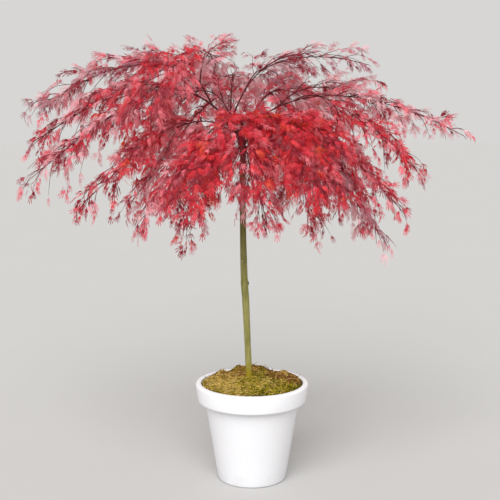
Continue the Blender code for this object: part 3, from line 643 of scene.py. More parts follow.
def planter_material(settings):
    """Smooth white, faintly clouded, a little darker towards the foot."""
    material, tree, shader = new_material("planter_white")
    mottle = use_group(tree, mottle_group(), {
        "First": rgba(settings.white), "Second": rgba(settings.shade), "Scale": 7.0, "Contrast": 1.6})
    # Darker towards the foot: in the lowest few centimetres the colour fades to a dimmer copy of the second
    # tone.
    above_foot = use_group(tree, rise_group(), {"Low": -0.02, "High": 0.06, "Ragged": 0.10, "Scale": 30.0})
    darker_foot = mix_colours(tree, above_foot.outputs["Mask"], rgba(toned(settings.shade, 0.92)),
                        mottle.outputs["Colour"])
    tree.links.new(darker_foot, shader.inputs["Base Color"])
    fine = node(tree, "ShaderNodeTexNoise", {"Scale": 260.0, "Detail": 2.0})
    place = node(tree, "ShaderNodeTexCoord")
    tree.links.new(place.outputs["Object"], fine.inputs["Vector"])
    dull = node(tree, "ShaderNodeMapRange", {
        "Value": mottle.outputs["Mask"], "To Min": settings.gloss - 0.05, "To Max": settings.gloss + 0.08})
    tree.links.new(dull.outputs[0], shader.inputs["Roughness"])
    add_bump(tree, shader, fine.outputs["Fac"], 0.0002, 0.35)
    return material


def trunk_material(settings):
    """Green young bark with pale streaks, darker higher up with a painted shadow of the crown, which turns
    brown towards the fork.
    """
    material, tree, shader = new_material("trunk_bark")
    grain = use_group(tree, bark_group(), {"Scale": 130.0, "Stretch": 0.10, "Pores": 0.8})
    young = mix_colours(tree, grain.outputs["Streaks"], rgba(settings.olive), rgba(settings.pale))
    # Painted shadow of the crown on the trunk: a copy of the green bark darkened to 55 %, faded in from z
    # 0.66 to 0.90.
    crown_shadow_bark = mix_colours(tree, grain.outputs["Streaks"], rgba(toned(settings.olive, 0.55)),
                        rgba(toned(settings.pale, 0.55)))
    crown_shadow_mask = use_group(tree, rise_group(), {"Low": 0.66, "High": 0.90, "Ragged": 0.10, "Scale": 20.0})
    green = mix_colours(tree, crown_shadow_mask.outputs["Mask"], young, crown_shadow_bark)
    mottle = use_group(tree, mottle_group(), {
        "First": green, "Second": rgba(toned(settings.olive, 0.60)), "Scale": 16.0, "Contrast": 1.6})
    brown = mix_colours(tree, grain.outputs["Streaks"], rgba(settings.dark),
                        rgba(toned(settings.dark, 2.1)))
    aged = use_group(tree, rise_group(), {
        "Low": settings.greening - 0.10, "High": settings.greening + 0.10, "Ragged": 0.12, "Scale": 26.0})
    bark = mix_colours(tree, aged.outputs["Mask"], mottle.outputs["Colour"], brown)
    dotted = mix_colours(tree, grain.outputs["Pores"], bark, rgba((0.36, 0.31, 0.20)))
    clear = use_group(tree, rise_group(), {"Low": 0.375, "High": 0.445, "Ragged": 0.06, "Scale": 60.0})
    mossy = mix_colours(tree, clear.outputs["Mask"], rgba(settings.foot), dotted)
    tree.links.new(mossy, shader.inputs["Base Color"])
    shader.inputs["Roughness"].default_value = 0.62
    shader.inputs["Specular IOR Level"].default_value = 0.25
    add_bump(tree, shader, grain.outputs["Height"], 0.0006)
    return material


def bough_material(settings):
    """Dark brown bark with a wine cast."""
    material, tree, shader = new_material("bough_bark")
    grain = use_group(tree, bark_group(), {"Scale": 170.0, "Stretch": 0.8, "Pores": 0.6})
    brown = mix_colours(tree, grain.outputs["Streaks"], rgba(settings.dark),
                        rgba(toned(settings.dark, 1.9)))
    mottle = use_group(tree, mottle_group(), {
        "First": brown, "Second": rgba(settings.wine), "Scale": 9.0, "Contrast": 2.0})
    dotted = mix_colours(tree, grain.outputs["Pores"], mottle.outputs["Colour"], rgba((0.13, 0.06, 0.05)))
    tree.links.new(dotted, shader.inputs["Base Color"])
    shader.inputs["Roughness"].default_value = 0.66
    shader.inputs["Specular IOR Level"].default_value = 0.08
    add_bump(tree, shader, grain.outputs["Height"], 0.0005)
    return material


def leaf_material(tint, colour, glow):
    """A thin leaf: satin on its face, and lit through from behind."""
    material, tree, shader = new_material("leaf_" + tint)
    mottle = use_group(tree, mottle_group(), {
        "First": rgba(colour), "Second": rgba(toned(colour, 0.62)), "Scale": 34.0, "Contrast": 2.2})
    tree.links.new(mottle.outputs["Colour"], shader.inputs["Base Color"])
    shader.inputs["Roughness"].default_value = 0.42
    add_bump(tree, shader, mottle.outputs["Mask"], 0.0008)
    through = node(tree, "ShaderNodeBsdfTranslucent", {"Color": rgba(colour)})
    both = node(tree, "ShaderNodeMixShader", {
        0: glow, 1: shader.outputs["BSDF"], 2: through.outputs["BSDF"]})
    tree.links.new(both.outputs[0], tree.nodes["Material Output"].inputs["Surface"])
    return material


# Planter and soil

def arc(centre_radius, centre_height, radius, start, end, steps=ARC_STEPS):
    """Points of a turned profile on an arc, with angles in degrees."""
    angles = [math.radians(start + (end - start) * k / steps) for k in range(steps + 1)]
    return [(centre_radius + radius * math.cos(a), centre_height + radius * math.sin(a)) for a in angles]


def wall_radius(height):
    """Inside radius of the pot."""
    return float(np.interp(height, WALL_HEIGHTS, WALL_RADII))


def pot_profile():
    """From the inside floor's middle up the wall, over the lip and down to the foot's middle."""
    band_bottom = POT_HEIGHT - BAND_HEIGHT
    band_radius = RIM_RADIUS - BAND_DRAFT - BAND_ROUND
    inner_lip = LIP_INNER_RADIUS + LIP_INNER_ROUND
    profile = [(0.0, FLOOR_THICKNESS)]
    profile += list(zip(WALL_RADII, WALL_HEIGHTS))[:-1]
    profile += arc(inner_lip, POT_HEIGHT - LIP_INNER_ROUND, LIP_INNER_ROUND, 180, 90)
    profile += arc(RIM_RADIUS - LIP_ROUND, POT_HEIGHT - LIP_ROUND, LIP_ROUND, 90, 0)
    profile += arc(band_radius, band_bottom + BAND_ROUND, BAND_ROUND, 0, -90)
    profile += [(BODY_TOP_RADIUS + 0.001, band_bottom), (BODY_TOP_RADIUS, band_bottom - BAND_GROOVE)]
    profile += arc(BASE_RADIUS - BASE_ROUND, BASE_ROUND, BASE_ROUND, -BODY_DRAFT, -90)
    profile += [(0.0, 0.0)]
    return profile


def turned(profile, steps):
    """A bmesh turned about the Z axis from a profile that starts and ends on it."""
    bm = bmesh.new()
    verts = [bm.verts.new((radius, 0.0, height)) for radius, height in profile]
    edges = [bm.edges.new(pair) for pair in zip(verts, verts[1:])]
    bmesh.ops.spin(bm, geom=verts + edges, cent=(0.0, 0.0, 0.0), axis=(0.0, 0.0, 1.0), dvec=(0.0, 0.0, 0.0),
                   angle=math.tau, steps=steps, use_merge=True)
    bmesh.ops.remove_doubles(bm, verts=bm.verts, dist=MERGE)
    return bm


class MAPLE_OT_planter(bpy.types.Operator):
    """Turn the white planter, with its band, rolled lip and rounded foot"""
    bl_idname = "maple.planter"
    bl_label = "Planter"

    def execute(self, context):
        mesh = mesh_of(turned(pot_profile(), POT_STEPS), "planter", sharp_angle=40.0)
        new_piece("planter", mesh, planter_material(context.scene.maple_planter), "planter", ["pot"])
        return {"FINISHED"}


class MAPLE_OT_soil(bpy.types.Operator):
    """Give the potting soil under the moss its finish"""
    bl_idname = "maple.soil"
    bl_label = "Soil"

    def execute(self, context):
        dark = context.scene.maple_planter.soil
        material = mottled_material("potting_soil", dark, toned(dark, 2.4), 90.0, 2.5, 0.95, 0.004)
        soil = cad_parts["potting_soil"]
        if not soil.material_slots:
            soil.data.materials.append(material)
        soil.material_slots[0].material = material
        return {"FINISHED"}


# Moss

def moss_height(x, y):
    """Height of the mound: a low dome, clumps, and three sizes of bump."""
    edge = wall_radius(MOSS_EDGE)
    share = min(1.0, math.hypot(x, y) / edge)
    height = MOSS_CROWN - (MOSS_CROWN - MOSS_EDGE) * share ** MOSS_ROUND
    for clump_x, clump_y, rise, radius in MOSS_CLUMPS:
        height += rise * math.exp(-((x - clump_x) ** 2 + (y - clump_y) ** 2) / (2 * (radius * 0.6) ** 2))
    fade = min(1.0, (1.0 - share) / 0.06)
    for frequency, size in MOSS_OCTAVES:
        height += size * fade * noise.noise(Vector((x, y, 0.3)) * frequency)
    return height


def strand_line(x, y, heading, length, bend, lift):
    """Four points of a strand that starts in the moss, arches and dips back in."""
    points = []
    steps = 3
    for k in range(steps + 1):
        share = k / steps
        rise = lift * math.sin(math.pi * min(1.0, share * 0.85 + 0.05)) - STRAND_SUNK
        points.append((x, y, moss_height(x, y) + rise))
        x += math.cos(heading) * length / steps
        y += math.sin(heading) * length / steps
        heading += bend / steps
    return points


def wisp_line(x, y, heading, length):
    """Four points of a strand that stands up and leans one way."""
    root = np.array((x, y, moss_height(x, y) - STRAND_SUNK))
    lean = np.array((math.cos(heading), math.sin(heading), 0.0)) * length * WISP_LEAN
    rise = UP * length * WISP_RISE
    return [root + lean * share ** 2 + rise * share for share in np.linspace(0.0, 1.0, 4)]


def strand_colour(x, y, rng):
    """A colour dealt by the nearest patch, with ragged borders between patches."""
    x += PATCH_RAGGED * noise.noise(Vector((x, y, 0.7)) * 40.0)
    y += PATCH_RAGGED * noise.noise(Vector((x, y, 1.7)) * 40.0)
    nearest = min(MOSS_PATCHES, key=lambda patch: math.hypot(patch[0] - x, patch[1] - y))
    colours, weights = zip(*MOSS_DEALS[nearest[2]])
    return rng.choices(colours, weights)[0]


class MAPLE_OT_moss(bpy.types.Operator):
    """Lay the mound of moss, and strew its loose strands over it"""
    bl_idname = "maple.moss"
    bl_label = "Moss"

    def execute(self, context):
        settings = context.scene.maple_moss
        self.lay_mound(settings)
        self.strew_strands(settings)
        return {"FINISHED"}

    def lay_mound(self, settings):
        bottom = SOIL_TOP + 0.0003
        edge = wall_radius(bottom) - 0.0005
        profile = [(edge * k / MOSS_RINGS, MOSS_CROWN) for k in range(MOSS_RINGS + 1)]
        profile += [(edge, bottom), (0.0, bottom)]
        bm = turned(profile, MOSS_STEPS)
        for vertex in bm.verts:
            if vertex.co.z > bottom + MERGE:
                vertex.co.z = moss_height(vertex.co.x, vertex.co.y)
        # The mound's dark colour is the moss's own tone plus painted shade of the gaps between the strands.
        material = mottled_material("moss_deep", settings.deep, settings.olive, 120.0, 2.6, 0.95, 0.004, 0.2)
        new_piece("moss_mound", mesh_of(bm, "moss_mound"), material, "moss", ["moss"])

    def strew_strands(self, settings):
        rng = random.Random("moss strands")
        reach = wall_radius(MOSS_EDGE) - MOSS_MARGIN
        lines = {colour: [] for colour in MOSS_DEALS}
        for _ in range(settings.strands):
            radius = reach * math.sqrt(rng.random())
            angle = rng.uniform(0.0, math.tau)
            x, y = radius * math.cos(angle), radius * math.sin(angle)
            length = settings.strand_length * rng.uniform(*STRAND_SIZES)
            heading, bend = rng.uniform(0.0, math.tau), rng.uniform(-STRAND_BEND, STRAND_BEND)
            if rng.random() < WISPS:
                line = wisp_line(x, y, heading, length)
            else:
                line = strand_line(x, y, heading, length, bend, rng.uniform(*STRAND_LIFT))
            if all(math.hypot(px, py) < reach for px, py, _ in line):
                lines[strand_colour(x, y, rng)].append(line)
        taper = np.array(STRAND_TAPER) * settings.strand_width / 2
        for colour, strands in lines.items():
            radii = np.tile(taper, (len(strands), 1))
            mesh = joined_mesh("moss_" + colour, *tubes(strands, radii, 3))
            mesh.shade_smooth()
            tone = getattr(settings, colour)
            material = mottled_material("moss_" + colour, tone, toned(tone, 0.5), 60.0, 2.2, 0.85,
                                        specular=0.1)
            new_piece("moss_" + colour, mesh, material, "moss")


# Trunk

def trunk_centre(height):
    return np.array((np.interp(height, TRUNK_HEIGHTS, TRUNK_LEAN), 0.0, height))


def soft_centre(height):
    """The trunk's centre with the corners of its lean evened out."""
    steps = np.linspace(-TRUNK_SOFTEN, TRUNK_SOFTEN, 5)
    x = np.mean([np.interp(height + step, TRUNK_HEIGHTS, TRUNK_LEAN) for step in steps])
    return np.array((x, 0.0, height))


def trunk_radius(height):
    flare = ROOT_FLARE * math.exp(-(height - SOIL_TOP) / ROOT_FLARE_HEIGHT)
    left = min(1.0, max(0.0, TRUNK_TOP - height) / KNOB_ROUND)
    return (float(np.interp(height, TRUNK_HEIGHTS, TRUNK_RADII)) + flare) * math.sqrt(1 - (1 - left) ** 2)


def trunk_relief(relief):
    """Long low ridges, fine grain, a swollen foot and knob, and a collar under the pruned shoot."""
    def at(x, y, length):
        height = SOIL_TOP + length
        ridges = noise.noise(Vector((x * 1.4, y * 1.4, height * 9)))
        grain = noise.noise(Vector((x * 4.5, y * 4.5, height * 40)))
        knob = math.exp(-((height - TRUNK_TOP + 0.02) / 0.030) ** 2)
        lumps = noise.noise(Vector((x * 2.2, y * 2.2, height * 60)))
        collar = math.exp(-((height - STUB_HEIGHT) / 0.009) ** 2)
        bulge = collar * (0.07 + 0.22 * max(0.0, x) ** 4)
        return relief * (ridges + 0.5 * grain) + 0.22 * knob * lumps + bulge
    return at


def trunk_heights():
    shaft = np.arange(SOIL_TOP, TRUNK_TOP - KNOB_ROUND, TRUNK_STEP)
    knob = TRUNK_TOP - KNOB_ROUND * (1 - np.sin(np.linspace(0.0, 0.48 * math.pi, KNOB_RINGS)))
    return np.concatenate((shaft, knob))


class MAPLE_OT_trunk(bpy.types.Operator):
    """Grow the trunk with its bark's relief, its pruned shoot and its pale scars"""
    bl_idname = "maple.trunk"
    bl_label = "Trunk"

    def execute(self, context):
        settings = context.scene.maple_bark
        heights = trunk_heights()
        line = np.array([soft_centre(height) for height in heights])
        radii = [max(0.001, trunk_radius(height)) for height in heights]
        bm = limb(line, radii, TRUNK_SIDES, np.array((1.0, 0.0, 0.0)), trunk_relief(settings.relief))
        mesh = mesh_of(bm, "trunk_shaft")
        new_piece("trunk_shaft", mesh, trunk_material(settings), "trunk_bark", ["trunk"])
        self.add_stub(settings)
        self.add_scars()
        return {"FINISHED"}

    def add_stub(self, settings):
        """The short dead end of a pruned side shoot, which leans up and to the right."""
        bm = bmesh.new()
        bmesh.ops.create_cone(bm, cap_ends=True, segments=14, radius1=STUB_RADII[0], radius2=STUB_RADII[1],
                              depth=STUB_LENGTH)
        rim = [edge for edge in bm.edges if all(vertex.co.z > 0 for vertex in edge.verts)]
        bmesh.ops.bevel(bm, geom=rim, offset=STUB_EDGE, offset_type="OFFSET", affect="EDGES", segments=2,
                        profile=0.5, material=-1)
        centre = soft_centre(STUB_HEIGHT)
        place = Matrix.Translation(centre + ((trunk_radius(STUB_HEIGHT) - 0.001) * 0.9, -0.004, 0.0))
        bm.transform(place @ Matrix.Rotation(math.radians(STUB_LEAN), 4, "Y"))
        for vertex in bm.verts:
            vertex.co += vertex.normal * STUB_ROUGHNESS * noise.noise(vertex.co * 400)
        dark = toned(settings.dark, 0.5)
        material = mottled_material("stub_wood", dark, settings.dark, 300.0, 2.0, 0.85, 0.0006)
        new_piece("pruned_shoot", mesh_of(bm, "pruned_shoot"), material, "trunk_bark")

    def add_scars(self):
        """Small pale scars, flat drops half sunk in the bark."""
        bm = bmesh.new()
        for height, angle in SCAR_MARKS:
            out = Vector((math.cos(math.radians(angle)), math.sin(math.radians(angle)), 0.0))
            place = Vector(soft_centre(height)) + out * (trunk_radius(height) - 0.0001)
            turn = out.to_track_quat("X", "Z").to_matrix().to_4x4()
            size = Matrix.Diagonal((*SCAR_SIZE, 1.0))
            bmesh.ops.create_icosphere(bm, subdivisions=2, radius=1.0,
                                       matrix=Matrix.Translation(place) @ turn @ size)
        material = mottled_material("scar_wood", (0.46, 0.40, 0.26), (0.30, 0.25, 0.14), 400.0, 2.0, 0.8)
        new_piece("bark_scars", mesh_of(bm, "bark_scars"), material, "trunk_bark")


# Boughs

def bezier(start, first, second, end, count):
    t = np.linspace(0.0, 1.0, count)[:, None]
    s = 1.0 - t
    return s ** 3 * start + 3 * s * s * t * first + 3 * s * t * t * second + t ** 3 * end


def along(line, share):
    """The point and the direction at a share of a line's points."""
    place = share * (len(line) - 1)
    k = min(int(place), len(line) - 2)
    step = line[k + 1] - line[k]
    return line[k] + step * (place - k), unit(step)


def line_length(line):
    return float(np.linalg.norm(np.diff(line, axis=0), axis=1).sum())


def centreline(plume, start):
    """The line of a bough and its foliage: up, over and down to a weeping tip."""
    rng = random.Random(plume.name)
    heading = math.radians(plume.heading)
    tip = np.array((plume.reach * math.cos(heading), plume.reach * math.sin(heading), plume.tip))
    run = (tip - start) * (1.0, 1.0, 0.0)
    sideways = np.array((-run[1], run[0], 0.0))
    fall_height = plume.tip + plume.slope * FALL_HANDLE * np.linalg.norm(run)
    rise_height = (8 * plume.crest - start[2] - plume.tip - 3 * fall_height) / 3
    rise = start + run * RISE_HANDLE + sideways * rng.uniform(-SWAY, SWAY)
    fall = tip - run * FALL_HANDLE + sideways * rng.uniform(-SWAY, SWAY)
    rise[2] = rise_height
    fall[2] = fall_height
    return bezier(start, rise, fall, tip, LINE_POINTS)


@functools.lru_cache(maxsize=None)
def all_centrelines():
    lines = {}
    waiting = list(PLUMES)
    while waiting:
        plume = waiting.pop(0)
        if plume.carrier == "trunk":
            lines[plume.name] = centreline(plume, trunk_centre(plume.at))
        elif plume.carrier in lines:
            lines[plume.name] = centreline(plume, along(lines[plume.carrier], plume.at)[0])
        else:
            waiting.append(plume)
    return lines


def limb_side(line):
    """A level direction across a limb's run."""
    run = line[-1] - line[0]
    return unit(np.array((-run[1], run[0], 0.0)))


def stretch(line, start, end, step):
    """Evenly spaced points of a part of a line."""
    count = max(4, round(line_length(line) * (end - start) / step))
    return np.array([along(line, start + (end - start) * k / count)[0] for k in range(count + 1)])


def bough_relief(relief, seed):
    """Grain, and ring scars where old leaves sat."""
    def at(x, y, length):
        grain = noise.noise(Vector((x * 1.8 + seed, y * 1.8, length * 55)))
        fine = noise.noise(Vector((x * 4.0, y * 4.0 + seed, length * 160)))
        from_joint = (length + seed * 0.01) % JOINT_SPACING - JOINT_SPACING / 2
        joint = math.exp(-(from_joint / 0.0022) ** 2)
        return relief * (1.6 * grain + 0.7 * fine) + 0.16 * joint
    return at


class MAPLE_OT_boughs(bpy.types.Operator):
    """Grow each bough from its collar to where its foliage starts"""
    bl_idname = "maple.boughs"
    bl_label = "Boughs"

    def execute(self, context):
        settings = context.scene.maple_bark
        material = bough_material(settings)
        lines = all_centrelines()
        for index, plume in enumerate(PLUMES):
            line = stretch(lines[plume.name], 0.0, plume.bare, BOUGH_STEP)
            shares = np.linspace(0.0, 1.0, len(line))
            length = line_length(line)
            radii = BOUGH_END_RADIUS + (plume.root * BOUGH_SLIMNESS - BOUGH_END_RADIUS) * (1.0 - shares) ** 2
            radii *= 1.0 + COLLAR * np.exp(-shares * length / COLLAR_LENGTH)
            bm = limb(line, radii, BOUGH_SIDES, limb_side(line), bough_relief(settings.relief, index))
            name = plume.name + "_bough"
            new_piece(name, mesh_of(bm, name), material, "bough_bark", ["bough_" + plume.name])
        return {"FINISHED"}


# Crown

Crown = namedtuple("Crown", "stems twigs shoots leaves")
Leaf = namedtuple("Leaf", "root turn tint shape plume")


class Space:
    """Which mass of foliage owns a place: that of the nearest stem."""

    def __init__(self, lines):
        first_leafy = {plume.name: int(plume.bare * (LINE_POINTS - 1)) for plume in PLUMES}
        stems = [lines[plume.name][first_leafy[plume.name]:] for plume in PLUMES]
        self.stems = np.concatenate(stems)
        self.owners = np.repeat(np.arange(len(PLUMES)), [len(stem) for stem in stems])

    def nearer_own(self, index, points):
        """How much nearer each point is to its own stem than to any other."""
        to_stems = np.linalg.norm(points[:, None] - self.stems[None], axis=2)
        own = to_stems[:, self.owners == index].min(axis=1)
        other = to_stems[:, self.owners != index].min(axis=1)
        return other - own


def square_to(first, second):
    """A direction square to two others, or +X where they are parallel."""
    side = np.cross(first, second)
    return unit(side) if np.linalg.norm(side) > 0.001 else np.array((1.0, 0.0, 0.0))


def side_way(way, roll, angle):
    """A direction at an angle off another, with its side set by a roll from the horizontal."""
    side = square_to(way, UP)
    over = np.cross(side, way)
    outward = side * math.cos(roll) + over * math.sin(roll)
    return unit(way * math.cos(angle) + outward * math.sin(angle))


def drooping(start, way, size, rng, count, droop, wander):
    """Points of a twig that starts one way and bends towards the ground."""
    points = [start]
    for k in range(count):
        stray = np.array([rng.gauss(0.0, wander) for _ in range(3)])
        way = unit(way + DOWN * droop * (k + 0.5) / count + stray)
        points.append(points[-1] + way * size / count)
    return np.array(points)


def twig_profile(share):
    """How long a side twig is along its stem: short at both ends, longest before the middle."""
    return 0.30 + 0.80 * math.sin(math.pi * min(1.0, 0.15 + 0.75 * share))


def twig_starts(plume, line, rng):
    """Root, direction, size and share of every twig of one mass, in pairs up its stem."""
    first = plume.bare - TWIG_EARLY
    stations = max(3, int(line_length(line) * (1.0 - first) / TWIG_GAP))
    for k in range(stations + 1):
        share = k / stations
        root, way = along(line, first + (1.0 - first) * share)
        size = plume.spread * twig_profile(share)
        if k == stations:
            yield root, way, plume.spread * LAST_TWIG, share
            return
        roll = math.radians(TWIG_ROLLS[k % 2]) + rng.gauss(0.0, 0.2)
        angle = math.radians(rng.uniform(*TWIG_ANGLE))
        for side_roll in (roll, math.pi - roll):
            yield root, side_way(way, side_roll, angle), size * rng.uniform(*TWIG_SIZES), share
        if k % 2 == 0:
            under = -math.pi / 2 + rng.gauss(0.0, 0.4)
            yield root, side_way(way, under, angle), size * UNDER_TWIG * rng.uniform(*TWIG_SIZES), share


def shoot_ways(way, last, rng):
    if last:
        return [way]
    roll = rng.uniform(*SHOOT_ROLL)
    angle = math.radians(rng.uniform(*SHOOT_ANGLE))
    return [side_way(way, roll, angle), side_way(way, math.pi - roll, angle)]


def leaf_turn(way, size, rng):
    """The matrix of a leaf: its length along a way, and its face up or out."""
    side = square_to(UP, way)
    face = np.cross(way, side)
    roll = rng.gauss(0.0, LEAF_TURN)
    side, face = side * math.cos(roll) + face * math.sin(roll), face * math.cos(roll) - side * math.sin(roll)
    return np.array((way, side, face)).T * size


def leaf_starts(shoot, gap, rng):
    """Where the leaves of one shoot sit and which way they point: pairs, and one at the tip."""
    count = max(1, round(line_length(shoot) / gap))
    for k in range(1, count + 1):
        root, way = along(shoot, k / count)
        if k == count:
            yield root, way
            return
        for side in (0.0, math.pi):
            roll = side + rng.uniform(-LEAF_ROLL, LEAF_ROLL)
            yield root, side_way(way, roll, math.radians(rng.uniform(*LEAF_ANGLE)))


def in_box(point, box, beyond):
    """Whether a point is inside a box, or outside it by no more than a length."""
    return all(low - beyond < value < high + beyond for low, value, high in zip(box[0], point, box[1]))


def mass_reach(name):
    """The box that holds a mass of foliage and its bough."""
    lows, highs = zip(*(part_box(kind + name) for kind in ("foliage_", "bough_")))
    return np.min(lows, axis=0), np.max(highs, axis=0)


def in_reach(point, mass_box):
    """Whether a point keeps to the tree's box and to that of its own mass."""
    return in_box(point, CAD_BOX, OUTREACH) and in_box(point, mass_box, MASS_OUTREACH)


def before_trunk(point):
    """Whether a point is in front of the trunk's top."""
    x, y, z = point
    low, high = WINDOW_HEIGHTS
    return y < 0.0 and low < z < high and abs(x - trunk_centre(z)[0]) < WINDOW_WIDTH / 2


@functools.lru_cache(maxsize=None)
def grown_crown(leaf_length, leaf_gap):
    """Everything that grows on the boughs, from the stems out to the leaves."""
    lines = all_centrelines()
    space = Space(lines)
    crown = Crown([], [], [], [])
    for index, plume in enumerate(PLUMES):
        grow_mass(crown, index, plume, lines[plume.name], space, leaf_length, leaf_gap)
    return crown


def spray_tint(plume, share, dealer):
    """The colour of one shoot's leaves, dealt by its mass's tint, and darker towards the tip."""
    colours, weights = zip(*DEALS[plume.tint])
    tint = dealer.choices(colours, weights)[0]
    return "burgundy" if dealer.random() < DARK_TIPS * share else tint


def leaves_on(shoot, tint, plume, mass_box, rng, leaf_length, leaf_gap):
    """The leaves of one shoot that keep to the mass's reach and leave the trunk's top in sight."""
    leaves = []
    for root, way in leaf_starts(shoot, leaf_gap, rng):
        stray = np.array([rng.gauss(0.0, LEAF_WANDER) for _ in range(3)])
        way = unit(way + DOWN * rng.uniform(*LEAF_DROOP) + stray)
        blade = leaf_length * rng.uniform(*LEAF_SIZES)
        turn = leaf_turn(way, blade, rng)
        tip = root + way * blade * (1.0 + STALK)
        hides_trunk = before_trunk((root + tip) / 2) and rng.random() < WINDOW_THINNING
        if in_reach(tip, mass_box) and not hides_trunk:
            leaves.append(Leaf(root, turn, tint, rng.randrange(len(LEAF_SHAPES)), plume.name))
    return leaves


def grow_mass(crown, index, plume, line, space, leaf_length, leaf_gap):
    """One mass of foliage, carried from its stem to twigs, shoots and leaves."""
    rng = random.Random("mass " + plume.name)
    dealer = random.Random("tints " + plume.name)
    mass_box = mass_reach(plume.name)
    crown.stems.append(stretch(line, plume.bare, 1.0, STEM_STEP))
    droop = TWIG_DROOP[0] + TWIG_DROOP[1] * max(0.0, plume.slope)
    for root, way, size, share in twig_starts(plume, line, rng):
        twig = drooping(root, way, size, rng, TWIG_POINTS, droop, TWIG_WANDER)
        own = space.nearer_own(index, twig[1:]) > SPACE_MARGIN
        own &= [in_reach(point, mass_box) for point in twig[1:]]
        kept = len(twig) if own.all() else int(np.argmin(own)) + 1
        if kept < 2:
            continue
        twig = twig[:kept]
        crown.twigs.append(twig)
        fullness = FULLNESS[plume.tint] * (1.0 - TIP_THINNING * share)
        count = max(1, int(line_length(twig) / SHOOT_GAP * max(1.0, fullness)))
        for k in range(1, count + 1):
            start, twig_way = along(twig, k / count)
            for shoot_way in shoot_ways(twig_way, k == count, rng):
                length = rng.uniform(*SHOOT_LENGTH) * (1.0 - SHOOT_TAPER * share)
                shoot = drooping(start, shoot_way, length, rng, SHOOT_POINTS, SHOOT_DROOP, SHOOT_WANDER)
                tint = spray_tint(plume, share, dealer)
                leaves = leaves_on(shoot, tint, plume, mass_box, rng, leaf_length, leaf_gap)
                own = space.nearer_own(index, shoot[-1:])[0] > -SHOOT_STRAY and in_reach(shoot[-1], mass_box)
                if rng.random() < fullness and own:
                    crown.shoots.append(shoot)
                    crown.leaves.extend(leaves)


def even_twigs(twigs, count):
    """Twigs with the same number of points each, so that they can be joined from arrays."""
    return [np.array([along(twig, k / (count - 1))[0] for k in range(count)]) for twig in twigs]


def tapering(count, rings, ends):
    return np.tile(np.linspace(*ends, rings), (count, 1))


def foliage_nodes(names=None):
    return ["foliage_" + plume.name for plume in PLUMES if names is None or plume.name in names]


class MAPLE_OT_twigs(bpy.types.Operator):
    """Grow the leafy stems, their side twigs and the fine shoots"""
    bl_idname = "maple.twigs"
    bl_label = "Twigs"

    def execute(self, context):
        bark = context.scene.maple_bark
        crown_settings = context.scene.maple_crown
        crown = grown_crown(crown_settings.leaf_length, crown_settings.leaf_gap)
        brown = mottled_material("stem_bark", bark.dark, bark.wine, 30.0, 2.4, 0.65, 0.0006, 0.15)
        wine = mottled_material("twig_bark", bark.wine, toned(bark.wine, 1.9), 40.0, 2.2, 0.65,
                                specular=0.15)
        stems = even_twigs(crown.stems, STEM_POINTS)
        self.join("stems", stems, (BOUGH_END_RADIUS, STEM_END_RADIUS), STEM_SIDES, brown)
        self.join("twigs", even_twigs(crown.twigs, TWIG_POINTS + 1), TWIG_RADII, TWIG_SIDES, wine)
        self.join("shoots", crown.shoots, SHOOT_RADII, SHOOT_SIDES, wine)
        return {"FINISHED"}

    def join(self, name, lines, ends, sides, material):
        radii = tapering(len(lines), len(lines[0]), ends)
        mesh = joined_mesh(name, *tubes(lines, radii, sides))
        mesh.shade_smooth()
        new_piece(name, mesh, material, "bough_bark", foliage_nodes())


# Leaves

def add_lobe(bm, angle, size, fold):
    """One toothed lobe, drawn from a grid whose middle row is its rib."""
    shares, widths = LOBE_SHARES, LOBE_WIDTHS
    if size < SMALL_LOBE:
        shares, widths = SMALL_LOBE_SHARES, SMALL_LOBE_WIDTHS
    columns = len(shares) - 1
    grid = bmesh.ops.create_grid(bm, x_segments=columns, y_segments=2, size=1.0)["verts"]
    for vertex in grid:
        column = round((vertex.co.x + 1.0) / 2.0 * columns)
        row = round(vertex.co.y)
        half = widths[column]
        vertex.co = (shares[column] * size, row * half, abs(row) * half * fold)
    bmesh.ops.rotate(bm, verts=grid, matrix=Matrix.Rotation(math.radians(angle), 3, "Z"))


@functools.lru_cache(maxsize=None)
def leaf_shape(curl, bend, spread):
    """Arrays of a leaf of unit length: five lobes from the end of a thin stalk."""
    bm = bmesh.new()
    for angle, size in LOBES:
        add_lobe(bm, angle * spread, size, LEAF_FOLD)
    for vertex in bm.verts:
        vertex.co.z -= curl * vertex.co.xy.length_squared
    bmesh.ops.rotate(bm, verts=bm.verts, matrix=Matrix.Rotation(math.radians(bend), 3, "Y"))
    bmesh.ops.translate(bm, verts=bm.verts, vec=(STALK, 0.0, 0.0))
    stalk = bmesh.ops.create_grid(bm, x_segments=1, y_segments=1, size=0.5)["verts"]
    bmesh.ops.scale(bm, verts=stalk, vec=(STALK, STALK_WIDTH, 1.0))
    bmesh.ops.translate(bm, verts=stalk, vec=(STALK / 2, 0.0, 0.0))
    bmesh.ops.remove_doubles(bm, verts=bm.verts, dist=0.0005)
    bmesh.ops.triangulate(bm, faces=bm.faces)
    return arrays_of(bm)


def leaf_arrays(leaves):
    """Arrays of many leaves."""
    points, corners, sizes, used = [], [], [], 0
    for index, shape in enumerate(LEAF_SHAPES):
        alike = [leaf for leaf in leaves if leaf.shape == index]
        if not alike:
            continue
        shape_points, shape_corners, shape_sizes = leaf_shape(*shape)
        turns = np.array([leaf.turn for leaf in alike])
        roots = np.array([leaf.root for leaf in alike])
        points.append((np.einsum("nij,pj->npi", turns, shape_points) + roots[:, None]).reshape(-1, 3))
        many_corners, many_sizes = repeated(shape_corners, shape_sizes, len(alike), len(shape_points))
        corners.append(many_corners + used)
        sizes.append(many_sizes)
        used += len(points[-1])
    return np.concatenate(points), np.concatenate(corners), np.concatenate(sizes)


